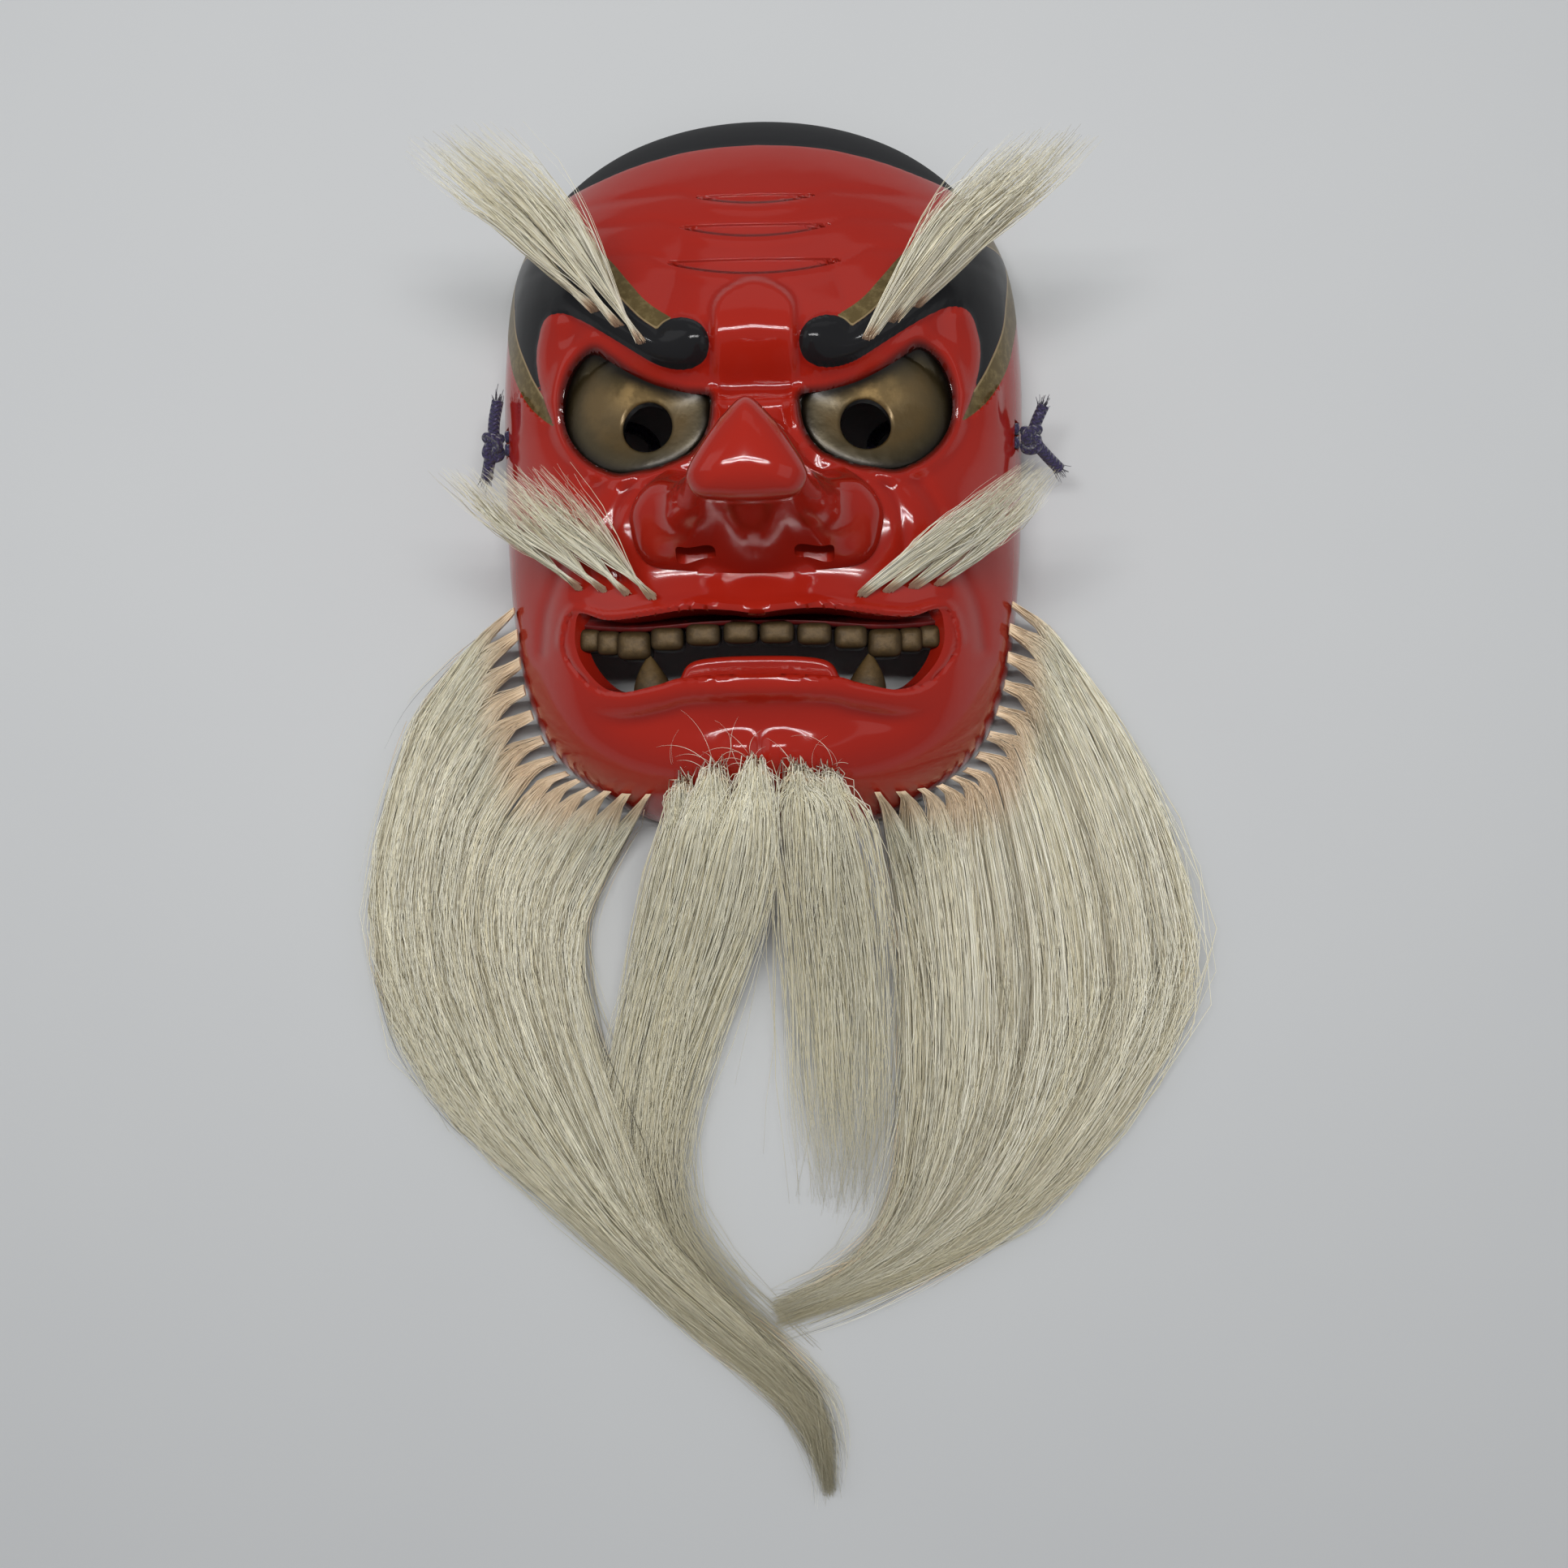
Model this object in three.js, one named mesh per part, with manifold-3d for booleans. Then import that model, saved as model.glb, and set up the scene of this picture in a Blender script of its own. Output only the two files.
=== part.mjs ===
// A carved and lacquered wooden goblin mask with a long nose, lying face up.
// Hair is set in tufts as brows, moustache and beard, and a short braided cord is tied at each side.
// Millimetres. X runs across the face, Y from the chin up to the forehead, and Z out of the face.
// Lengths below are counted from the chin's lowest point, on the plane that the rim lies on.
import * as THREE from "three";
import { ConvexGeometry } from "three/addons/geometries/ConvexGeometry.js";
import { mergeVertices } from "three/addons/utils/BufferGeometryUtils.js";
import loadManifold from "manifold-3d";

const wasm = await loadManifold();
wasm.setup();

// Driving dimensions of the shell
const FACE_DEPTH = 78; // how far the dome of the face stands over the rim
const FACE_MIDDLE = 118; // height up the face that all directions are counted from
const WALL = 6.5; // wood left between the face and the hollow behind it
const DIRECTIONS = 40;
const HOLLOW_DIRECTIONS = 20;
const RINGS = { cap: 3, nose: 5, face: 11 };
const HOLLOW_RINGS = { cap: 1, nose: 3, face: 5 };
const OUTLINE_STEPS = 240;
const RIDGE_STEPS = 20;
const LINE_STEPS = 60; // points on a line over the face before its rings are spaced evenly
const NOSE_ROOT_WOOD = { y: 161, depth: 6, reach: 20 }; // thicker wood behind the crease over the nose
const RIM = [
  [0, 277], [30, 273.5], [57, 263], [79, 245], [95, 218], [100, 180], [100, 140], [98.9, 105],
  [96.8, 80], [93.8, 61], [88.5, 44], [80.5, 30.5], [67, 18.5], [48, 8], [26, 1.5], [0, -0.5],
];

// Swellings and hollows of the face that are broader than a finger, each on both sides of the middle
const SWELLINGS = {
  betweenBrows: { height: -0.5, x: 0, y: 182, wide: 13, long: 15 },
  eyeSocket: { height: -9, x: 42, y: 150, wide: 30, long: 20 },
  noseRoot: { height: -4, x: 0, y: 157, wide: 16, long: 8 },
  cheekbone: { height: 5.5, x: 64, y: 112, wide: 19, long: 17 },
  muzzle: { height: 3.5, x: 20, y: 84, wide: 36, long: 13 },
  besideMouth: { height: -3.5, x: 82, y: 80, wide: 11, long: 24 },
  lowerLip: { height: 4, x: 0, y: 52, wide: 34, long: 8 },
  underLip: { height: -4, x: 0, y: 42, wide: 44, long: 7 },
  chin: { height: 7.5, x: 0, y: 27, wide: 34, long: 12 },
  chinDimple: { height: -1.6, x: 0, y: 33, wide: 4, long: 5 },
  forehead: { height: 4, x: 0, y: 214, wide: 48, long: 24 },
};
const BROW_RIDGE = {
  height: 8.5,
  line: [[0, 178], [14, 176], [24, 173.5], [36, 174], [50, 184], [66, 193], [84, 196]],
  above: 21, // how far it spreads into the forehead
  below: 12.5, // and towards the eye
  atTemple: 0.35, // share of its height that is left at the mask's side
  front: 70, // where it starts to sink
  temple: 100,
};
const NOSE_ROLL = { height: 4.5, y: 151.5, long: 5, half: 16.5, soft: 2 }; // fold across the root of the nose
const DOME_POWER = { side: 2.55, top: -0.5, chin: 0.25 }; // how square the dome is in each direction
const RIM_SHARE = 0.9; // swellings fade out between this share of the way to the rim and the rim
const RING_CROWDING = 0.55; // how much closer together the rings lie towards the steep rim

// Nose: its foot on the face, and the shoulder where its side turns into the round tip
const NOSE_SHOULDER = 139; // height of the shoulder over the rim plane
const NOSE_CAP = 13.5; // the round tip beyond the shoulder
const NOSE_TIP_AT = 116; // height up the face of the tip
const TIP_SPREAD = 0.85; // how bluntly the round tip spreads out
const TIP_DROP = 0.9; // and how it falls away towards the shoulder
const WING = {
  height: 12,
  lowest: -0.8, // the sines of the directions between which the wing swells
  low: -0.62,
  high: 0.1,
  highest: 0.42,
  inner: 0.2, // and the cosines
  outer: 0.6,
  from: 0.45, // share of the way from the shoulder to the foot where it is fullest
  risen: 0.35, // and where it has risen from the tip
};
const SHAFT = { ridge: 1.25, underside: 1.15, ridgeFlare: 3, undersideFlare: 3.2, spread: 1.5 }; // how hollow
const NOSE_FOOT = [
  [0, 147.5], [9, 145], [16, 138.5], [23.5, 131.5], [32, 128], [39.5, 122.5], [43.6, 114.5],
  [43.2, 107], [40.5, 99.5], [34, 95], [16, 93.2], [0, 92.6],
];
const SHOULDER = [
  [0, 137.5], [7.5, 131.5], [13.5, 123], [17.8, 114.5], [18.3, 109.5], [14.7, 104.6], [7.2, 103.1],
  [0, 102.8],
];
const NOSTRIL = { x: 20, y: 101, z: 87, width: 13.5, height: 11, length: 24 };

// Outlines that are carved into the face, right-hand side
const EYE = [
  [16.2, 155], [35.4, 159.5], [52, 169.4], [57.6, 172.4], [63.9, 169.2], [69.3, 154], [63.1, 138.5],
  [47.4, 129.3], [29.8, 132.1], [17.6, 141.8],
];
const EYE_STEPS = 16;
const EYE_MIDDLE = [43, 150];
const EYE_SUNK = 1.6; // how far the eyeball's edge lies below the lids
const EYE_BULGE = 3; // how far its middle swells again
const EYE_RINGS = [0.5, 0.85, 1.05]; // shares of the eye's outline; the last is tucked under the lid
const LID = { width: 4.6, height: 1.9 };
const PUPIL = { x: 38.6, y: 145.4, radius: 8.2, sides: 12 };
const BROW = [
  [33.5, 176.5], [24.2, 180.3], [15.4, 172.1], [20.8, 164], [32, 164.8], [52.1, 177], [69, 187],
  [76, 186.3], [79.8, 178], [77.4, 160.5], [83, 170.5], [89, 185], [93, 209], [93.3, 220],
  [80, 217.5], [68, 211], [48, 190.5],
];
const BROW_HEIGHT = 2.8;
const BROW_STEPS = 24;
const FROWN_PAD = [[0, 191], [9, 188.5], [14, 181], [14.5, 170], [11, 161], [0, 158.5]];
const FROWN_PAD_HEIGHT = 2.2;
const FROWN_PAD_STEPS = 16;
const WRINKLES = [
  { half: 21, y: 229.8, top: 0.4, bottom: 3.6 },
  { half: 26.2, y: 217, top: 0.9, bottom: 5 },
  { half: 30.7, y: 202.9, top: 1, bottom: 6 },
];
const WRINKLE_DEPTH = 1.6;
const WRINKLE_STEPS = 6;

// Mouth: a hole through the wall, with lips, gum, teeth, fangs and tongue carved in one with it
const MOUTH = [
  [0, 78.8], [23.4, 80.4], [52.6, 78], [66.5, 80.8], [70.3, 70.1], [58.7, 55.1], [44.4, 53.4],
  [26.8, 57.3], [0, 58.3],
];
const MOUTH_STEPS = 28;
const MOUTH_FLOOR = 53; // lowest point over the rim plane of the wood around the mouth
const MOUTH_RIM = 7; // width of that wood around the hole
const MOUTH_WIDE_FROM = 68; // height from which the hole has the lips' own width
const MOUTH_MIDDLE = 68; // its middle up the face
const MOUTH_NARROWS = 0.87; // the hole's width at its inner end, as a share of the lips'
const LIP = { width: 5, height: 1.8 };
const GUM = [
  [-68, 84], [-68, 77.5], [-45, 74.6], [-20, 76], [0, 76.6], [20, 76], [45, 74.6], [68, 77.5], [68, 84],
];
const TEETH = [
  { x: 6.5, y: 74, width: 11, height: 5.9 },
  { x: 19.6, y: 73.9, width: 11, height: 5.6 },
  { x: 33, y: 72.5, width: 9.9, height: 7 },
  { x: 45.4, y: 70.6, width: 11.3, height: 8.5 },
  { x: 53.9, y: 72, width: 7.2, height: 6 },
  { x: 59.6, y: 73, width: 6, height: 5.4 },
];
const TEETH_TOP = 63; // height of the teeth's faces over the rim plane
const TEETH_DEPTH = 7;
const TOOTH_BEVEL = 1;
const TOOTH_GAP = 0.4;
const ROUND_SIDES = 8; // sides of a small round form
const FANG = { x: 38.6, root: 51, tip: 65.6, width: 13.4, point: 0.6, flat: 0.6, z: 58 };
const TONGUE = [[0, 66.6], [15.2, 66.2], [24.2, 64.3], [27.9, 59.1], [29, 52], [0, 52]];
const TONGUE_TOP = 60;
const TONGUE_STEPS = 20;

// Side slots and the cords tied through them
const SLOT = { y: 150, z: 25, width: 11, height: 6.4, length: 34, x: 92 };
const CORD_RADIUS = 2.2;
const CORD_SIDES = 8;
const CORD_STEPS = 16;
const PIECE_GAP = 0.4;
const KNOT = { x: 101.2, y: 149, z: 25.5, across: 4.2, along: 6.4, high: 4.6 };
const CORD_END = KNOT.x - KNOT.across - PIECE_GAP;
const CORD_ROUTE = [
  [CORD_END, 147.5, 25], [90, 147.4, 25], [84.5, 146.8, 23.4], [80, 145.6, 18], [77.2, 143.8, 10.5],
  [73, 141.4, 4.6], [65, 139.6, 2.6], [54, 141, 2.5], [45, 146, 2.5], [42.5, 153, 2.5],
  [47.5, 159, 2.5], [57, 161, 2.5], [67, 158.6, 2.6], [74, 155.6, 5], [78, 153.8, 11],
  [80.6, 152.9, 18.4], [85, 152.6, 23.6], [90, 152.5, 25], [CORD_END, 152.5, 25],
];
const KNOT_BANDS = 5;
const TAIL_STEPS = 3;
const TAILS = {
  left: [
    [[101, 151, 26], [100.5, 158, 27], [99, 165.5, 27.5]],
    [[102, 147, 25], [103.5, 141, 24], [104.5, 137.5, 22]],
  ],
  right: [
    [[101.6, 151, 26], [103.5, 156, 27], [105.6, 160.5, 28]],
    [[103, 147, 25], [108, 142, 23], [112.5, 138, 21]],
  ],
};

// Hair. A fan of tufts lies between two edge lines; a lock follows one line of its own.
const ROOT_RADIUS = 0.9; // a tuft where it is glued into its hole
const ROOT_GAP = 0.5;
const WALL_STEP = 0.05; // fineness of the search for the wall that a root stands on
const LOCK_SIDES = 4;
const LANE_FILL = 0.86; // share of its lane that a tuft fills
const HAIR_FULL_FROM = 0.35; // share of its length from which a tuft is full
const HAIR_FULL_TO = 0.6;
const HAIR_POINT = 0.75; // how much of its fullness it loses towards its point
const HAIR_LINE_STEPS = 56;
const BROW_TUFTS = 3;
const MOUSTACHE_TUFTS = 4;
const BROW_FANS = {
  left: [
    [[-34, 168, 77], [-41, 190, 90], [-49, 214, 100], [-61, 224, 107], [-81, 232, 112]],
    [[-58.5, 187, 74], [-71, 191, 84], [-84, 202, 94], [-97, 211.5, 102], [-112, 226, 108]],
  ],
  right: [
    [[34, 168, 77], [41.2, 190, 90], [50, 211, 100], [63, 220, 107], [80, 226, 112]],
    [[58.5, 187, 74], [71, 190, 84], [84, 198, 94], [98, 207, 102], [112, 226, 108]],
  ],
};
const MOUSTACHE_FANS = {
  left: [
    [[-31.5, 84, 79.5], [-44, 99, 87], [-56, 113, 95], [-68, 124, 102]],
    [[-67.5, 90.5, 66], [-82, 98, 76], [-97, 110, 86], [-105, 124, 94]],
  ],
  right: [
    [[31.5, 84, 79.5], [47, 98, 87], [66, 110, 95], [87, 123, 102]],
    [[67.5, 90.5, 66], [82, 95, 76], [95, 105, 86], [100, 121, 94]],
  ],
};
const FAN_STATIONS = [0, 0.145, 0.333, 0.542, 0.765, 1];
const FAN_THICKNESS = 2.6; // half thickness of a brow or moustache tuft where it is widest
const FAN_FULL_FROM = 0.45; // share of its length from which it fills its lane
const FAN_FULL_TO = 0.75;
const FAN_POINT = 0.45; // how much of its width it loses towards its point

// Beard: tufts are set along the jaw and lie on the ground between an outer and an inner line
const BEARD_ROOTS = [
  [93.1, 87.2, 24], [91.9, 77.4, 23], [91.5, 66.9, 22], [90.7, 56.8, 20], [88.2, 47.4, 18],
  [85, 38, 15], [81.3, 30.8, 12], [76.5, 25.1, 11], [71.6, 22.6, 14], [66.2, 19.3, 18],
  [58.6, 18.2, 24], [50.9, 17.1, 31], [40.9, 17, 38],
];
const BEARD_LINES = {
  left: {
    outer: [
      [-93.5, 88.5], [-108.7, 80.6], [-123.6, 65.5], [-138.6, 42.4], [-151.3, -1.3], [-154.2, -35.9],
      [-145.4, -73.9], [-122.1, -110.3], [-90.8, -137.3], [-59.6, -162.7], [-31.5, -191.2],
      [-8, -209], [9, -224], [16, -241], [17, -258.3],
    ],
    inner: [
      [-42.1, 16.9], [-48.5, 7.5], [-59.1, -8], [-69.4, -26.9], [-73, -45.7], [-70.2, -67.8],
      [-63.4, -93.1], [-54.3, -118.4], [-46.7, -143.7], [-36.5, -163.9], [-18, -180],
      [4, -197], [22, -216], [28, -236], [27, -252],
    ],
  },
  right: {
    outer: [
      [93.5, 87.7], [107.3, 81.2], [119.9, 65.9], [135.4, 39.6], [150.8, 5.5], [160.6, -31.9],
      [160.5, -63.1], [144.3, -94.2], [124, -122.3], [103.7, -144.3], [78.6, -161.7], [50, -175.5],
      [26, -186], [4, -194],
    ],
    inner: [
      [37.2, 17.4], [40.4, 6.7], [45.1, -15], [49.1, -40.1], [51.5, -65.2], [52, -90.5],
      [50.5, -115.6], [47.5, -137.6], [42.1, -151.5], [33.6, -161.7], [22, -169], [10, -175],
      [0, -178],
    ],
  },
};
const BEARD_STATIONS = [0, 0.035, 0.08, 0.15, 0.25, 0.37, 0.49, 0.61, 0.73, 0.87, 1];
const BEARD_ROOT_SHARE = 0.45; // share of its length over which a tuft turns into the sweep
const BEARD_FALL_SHARE = 0.2; // share of its length over which it comes down to the ground
const BEARD_FALL = 1.5; // how steeply it starts to fall
const BEARD_GROWTH = 0.1; // how fast a tuft widens behind its root
const BEARD_THICKNESS = 5; // half thickness of the beard where it is fullest
const GROUND_GAP = 0.4;
const WALL_CLEARANCE = 3; // how far outside the shell's wall the beard is kept

// Chin locks hang over the chin and lie between the two sweeps; width is the half width at its fullest
const CHIN_STATIONS = [0, 0.06, 0.12, 0.2, 0.32, 0.5, 0.68, 0.85, 1];
const CHIN_LIFT = 1;
const CHIN_LOCKS = [
  {
    width: 5,
    line: [
      [-27.9, 19.8, 47], [-31.5, 7, 43], [-38.5, -15, 31], [-45.5, -44, 15], [-53, -73.7, 4],
      [-49.7, -99.2], [-44.6, -124.9], [-38.5, -144],
    ],
  },
  {
    width: 5.4,
    line: [
      [-16, 24.1, 58], [-18.3, 11, 55], [-23, -11, 42], [-30, -39, 23], [-38, -70, 7],
      [-37, -99.2], [-32.5, -122], [-28, -143],
    ],
  },
  {
    width: 5.4,
    line: [
      [-1.7, 26.2, 62], [-3, 13, 60], [-6.8, -9, 46], [-12.6, -37, 26], [-21.7, -66, 8],
      [-24.3, -92], [-21, -112], [-17, -128],
    ],
  },
  {
    width: 3.6,
    line: [
      [13.4, 23.8, 58], [14, 11, 55], [15, -13, 41], [16.5, -41, 22], [18.4, -70, 7],
      [19.7, -99.9], [22.2, -122], [25, -142],
    ],
  },
  {
    width: 5,
    line: [
      [24.4, 22.3, 53], [26, 9, 49], [31, -15, 36], [35, -43, 18], [36.8, -73, 5],
      [37.3, -99.5], [35.6, -124], [32.2, -146],
    ],
  },
];

const LACQUER = { color: 0xa8202a, roughness: 0.2, metalness: 0 };
const HAIR = { color: 0xd8cfb4, roughness: 0.7, metalness: 0 };
const CORD = { color: 0x2e2a4a, roughness: 0.85, metalness: 0 };

// Small maths
const clamp = (value, low, high) => Math.min(high, Math.max(low, value));
const mix = (a, b, share) => a + (b - a) * share;
const bell = (value, width) => Math.exp(-((value / width) ** 2));
const vector = ([x, y, z = 0]) => new THREE.Vector3(x, y, z);
const flip = (points, side) => points.map(([x, y, z]) => [side * x, y, z]);

function ramp(from, to, value) {
  const share = clamp((value - from) / (to - from), 0, 1);
  return share * share * (3 - 2 * share);
}

// Evenly stepped points on the smooth line through the given ones
function smoothLine(points, steps, closed = false) {
  const curve = new THREE.CatmullRomCurve3(points.map(vector), closed, "catmullrom", 0.5);
  const line = curve.getPoints(steps);
  return closed ? line.slice(0, -1) : line;
}

// A closed outline that is the same on both sides of the face, from its right half
function bothSides(half, steps) {
  const left = half.slice(1, -1).reverse().map(([x, y]) => [-x, y]);
  return smoothLine([...half, ...left], steps, true);
}

// The point at a share of the way along a list of points
function along(points, share) {
  const at = clamp(share, 0, 1) * (points.length - 1);
  const first = Math.min(Math.floor(at), points.length - 2);
  return points[first].clone().lerp(points[first + 1], at - first);
}

// Points at equal distances along a line, without its first one
function evenly(points, count) {
  const reach = [0];
  points.slice(1).forEach((point, i) => reach.push(reach[i] + point.distanceTo(points[i])));
  let i = 0;
  return Array.from({ length: count }, (_, n) => {
    const target = (reach.at(-1) * (n + 1)) / count;
    while (i < points.length - 2 && reach[i + 1] < target) i += 1;
    const share = (target - reach[i]) / Math.max(reach[i + 1] - reach[i], 1e-9);
    return points[i].clone().lerp(points[i + 1], clamp(share, 0, 1));
  });
}

// How far an outline is from the middle of the face, in any direction
function radiusTable(outline) {
  const table = outline
    .map((point) => [Math.atan2(point.y - FACE_MIDDLE, point.x), Math.hypot(point.x, point.y - FACE_MIDDLE)])
    .sort((a, b) => a[0] - b[0]);
  const first = table[0];
  const last = table.at(-1);
  const round = [[last[0] - 2 * Math.PI, last[1]], ...table, [first[0] + 2 * Math.PI, first[1]]];
  return (angle) => {
    const next = round.findIndex((row) => row[0] > angle);
    const [a, b] = [round[next - 1], round[next]];
    return mix(a[1], b[1], (angle - a[0]) / (b[0] - a[0]));
  };
}

function distanceTo(line, x, y) {
  let nearest = Infinity;
  for (let i = 1; i < line.length; i += 1) {
    const [a, b] = [line[i - 1], line[i]];
    const [dx, dy] = [b.x - a.x, b.y - a.y];
    const share = clamp(((x - a.x) * dx + (y - a.y) * dy) / (dx * dx + dy * dy), 0, 1);
    nearest = Math.min(nearest, Math.hypot(x - a.x - share * dx, y - a.y - share * dy));
  }
  return nearest;
}

// An outline moved outwards by a distance
function widened(outline, distance) {
  return outline.map((point, i) => {
    const before = outline[(i + outline.length - 1) % outline.length];
    const after = outline[(i + 1) % outline.length];
    const tangent = after.clone().sub(before).normalize();
    return new THREE.Vector3(point.x + tangent.y * distance, point.y - tangent.x * distance, 0);
  });
}

function isClockwise(outline) {
  return THREE.ShapeUtils.area(outline) < 0;
}

// Solids
function toManifold(geometry) {
  const bare = geometry.clone();
  bare.deleteAttribute("normal");
  bare.deleteAttribute("uv");
  const merged = mergeVertices(bare, 1e-4);
  const vertProperties = new Float32Array(merged.attributes.position.array);
  const triVerts = new Uint32Array(merged.index.array);
  return new wasm.Manifold(new wasm.Mesh({ numProp: 3, vertProperties, triVerts }));
}

function toGeometry(solid) {
  const mesh = solid.getMesh();
  const geometry = new THREE.BufferGeometry();
  geometry.setAttribute("position", new THREE.BufferAttribute(new Float32Array(mesh.vertProperties), 3));
  geometry.setIndex(new THREE.BufferAttribute(new Uint32Array(mesh.triVerts), 1));
  return geometry;
}

// A closed body from rings of points, each counter-clockwise seen from the start point's side
function ringBody(start, rings, end) {
  const count = rings[0].length;
  const points = [start, ...rings.flat(), end];
  const index = [];
  const at = (ring, i) => 1 + ring * count + (i % count);
  for (let i = 0; i < count; i += 1) {
    index.push(0, at(0, i), at(0, i + 1));
    for (let ring = 1; ring < rings.length; ring += 1) {
      index.push(at(ring - 1, i), at(ring, i), at(ring, i + 1));
      index.push(at(ring - 1, i), at(ring, i + 1), at(ring - 1, i + 1));
    }
    index.push(points.length - 1, at(rings.length - 1, i + 1), at(rings.length - 1, i));
  }
  const geometry = new THREE.BufferGeometry().setFromPoints(points);
  geometry.setIndex(index);
  return geometry;
}

// An upright prism over an outline
function prism(outline, bottom, top) {
  const shape = new THREE.Shape(outline.map((point) => new THREE.Vector2(point.x, point.y)));
  const geometry = new THREE.ExtrudeGeometry(shape, { depth: top - bottom, bevelEnabled: false });
  return geometry.translate(0, 0, bottom);
}

// Shape of the face
const rimRadius = radiusTable(bothSides(RIM, OUTLINE_STEPS));
const footRadius = radiusTable(bothSides(NOSE_FOOT, OUTLINE_STEPS));
const shoulderRadius = radiusTable(bothSides(SHOULDER, OUTLINE_STEPS));
const ridgeLine = smoothLine(BROW_RIDGE.line, RIDGE_STEPS);
const ridgeEnd = BROW_RIDGE.line.at(-1)[0];

function swellings(x, y) {
  const across = Math.abs(x);
  const spread = y > along(ridgeLine, across / ridgeEnd).y ? BROW_RIDGE.above : BROW_RIDGE.below;
  const fade = mix(BROW_RIDGE.atTemple, 1, ramp(BROW_RIDGE.temple, BROW_RIDGE.front, across));
  const ridge = BROW_RIDGE.height * bell(distanceTo(ridgeLine, across, y), spread) * fade;
  const { half, soft } = NOSE_ROLL;
  const rolled = ramp(half + soft, half - soft, across);
  const roll = NOSE_ROLL.height * bell(y - NOSE_ROLL.y, NOSE_ROLL.long) * rolled;
  return Object.values(SWELLINGS).reduce(
    (sum, one) => sum + one.height * bell(across - one.x, one.wide) * bell(y - one.y, one.long),
    ridge + roll,
  );
}

function faceHeight(x, y) {
  const angle = Math.atan2(y - FACE_MIDDLE, x);
  const share = Math.min(1, Math.hypot(x, y - FACE_MIDDLE) / rimRadius(angle));
  const upward = Math.sin(angle);
  const power = DOME_POWER.side + (upward > 0 ? DOME_POWER.top : DOME_POWER.chin) * upward ** 2;
  const dome = FACE_DEPTH * Math.sqrt(Math.max(0, 1 - share ** power));
  return dome + swellings(x, y) * ramp(1, RIM_SHARE, share);
}

function facePoint(angle, radius) {
  const [x, y] = [radius * Math.cos(angle), FACE_MIDDLE + radius * Math.sin(angle)];
  return new THREE.Vector3(x, y, faceHeight(x, y));
}

// The side of the nose in one direction: a concave shaft, with a bulge at each wing
function noseLine(angle, steps) {
  const [upward, sideways] = [Math.sin(angle), Math.abs(Math.cos(angle))];
  const straight = upward > 0 ? SHAFT.ridge : SHAFT.underside;
  const flare = upward > 0 ? SHAFT.ridgeFlare : SHAFT.undersideFlare;
  const bend = straight + flare * sideways ** SHAFT.spread;
  const between = ramp(WING.lowest, WING.low, upward) * ramp(WING.highest, WING.high, upward);
  const wing = WING.height * between * ramp(WING.inner, WING.outer, sideways);
  return Array.from({ length: steps + 1 }, (_, i) => {
    const out = i / steps;
    const point = facePoint(angle, mix(shoulderRadius(angle), footRadius(angle), out));
    const past = clamp((out - WING.from) / (1 - WING.from), 0, 1);
    const swell = Math.sqrt(1 - past ** 2) * ramp(0, WING.risen, out);
    point.z += (NOSE_SHOULDER - point.z) * (1 - out) ** bend + wing * swell;
    return point;
  });
}

function faceLine(angle, steps) {
  return Array.from({ length: steps + 1 }, (_, i) => {
    const share = mix(i / steps, Math.sin((i / steps) * (Math.PI / 2)), RING_CROWDING);
    return facePoint(angle, mix(footRadius(angle), rimRadius(angle), share));
  });
}

// Rings of points from the nose's tip out to the rim
function faceRings(directions, rings) {
  const angles = Array.from({ length: directions }, (_, i) => {
    const angle = Math.PI / 2 + (2 * Math.PI * i) / directions;
    return angle > Math.PI ? angle - 2 * Math.PI : angle;
  });
  const spokes = angles.map((angle) => {
    const shoulder = facePoint(angle, shoulderRadius(angle));
    const cap = Array.from({ length: rings.cap }, (_, i) => {
      const turn = ((i + 1) / rings.cap) * (Math.PI / 2);
      const share = Math.sin(turn) ** TIP_SPREAD;
      const y = mix(NOSE_TIP_AT, shoulder.y, share);
      const z = NOSE_SHOULDER + NOSE_CAP * Math.max(0, Math.cos(turn)) ** TIP_DROP;
      return new THREE.Vector3(shoulder.x * share, y, z);
    });
    const nose = evenly(noseLine(angle, LINE_STEPS), rings.nose);
    return [...cap, ...nose, ...evenly(faceLine(angle, LINE_STEPS), rings.face)];
  });
  return spokes[0].map((_, ring) => spokes.map((spoke) => spoke[ring]));
}

function faceSolid() {
  const tip = new THREE.Vector3(0, NOSE_TIP_AT, NOSE_SHOULDER + NOSE_CAP);
  return ringBody(tip, faceRings(DIRECTIONS, RINGS), new THREE.Vector3(0, FACE_MIDDLE, 0));
}

// The hollow: the same surface moved inwards by the wall, and let down through the rim plane
function hollowSolid() {
  const rings = faceRings(HOLLOW_DIRECTIONS, HOLLOW_RINGS);
  const inner = rings.map((ring, r) =>
    ring.map((point, i) => {
      const before = rings[Math.max(r - 1, 0)][i];
      const after = rings[Math.min(r + 1, rings.length - 1)][i];
      const outwards = after.clone().sub(before);
      const sideways = ring[(i + 1) % ring.length].clone().sub(ring.at(i - 1));
      const normal = outwards.cross(sideways).normalize();
      if (r === rings.length - 1) normal.setZ(0).normalize();
      const moved = point.clone().addScaledVector(normal, -WALL);
      const { y, depth, reach } = NOSE_ROOT_WOOD;
      moved.z -= depth * bell(moved.x, reach) * bell(moved.y - y, reach);
      return moved;
    }),
  );
  const below = inner.at(-1).map((point) => point.clone().setZ(-WALL));
  const tip = new THREE.Vector3(0, NOSE_TIP_AT, NOSE_SHOULDER + NOSE_CAP - WALL);
  return ringBody(tip, [...inner, below], new THREE.Vector3(0, FACE_MIDDLE, -WALL));
}

const outer = faceSolid();
const outerSolid = toManifold(outer);
const OVER = NOSE_SHOULDER; // above anything that stands on the face beside the nose

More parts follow.
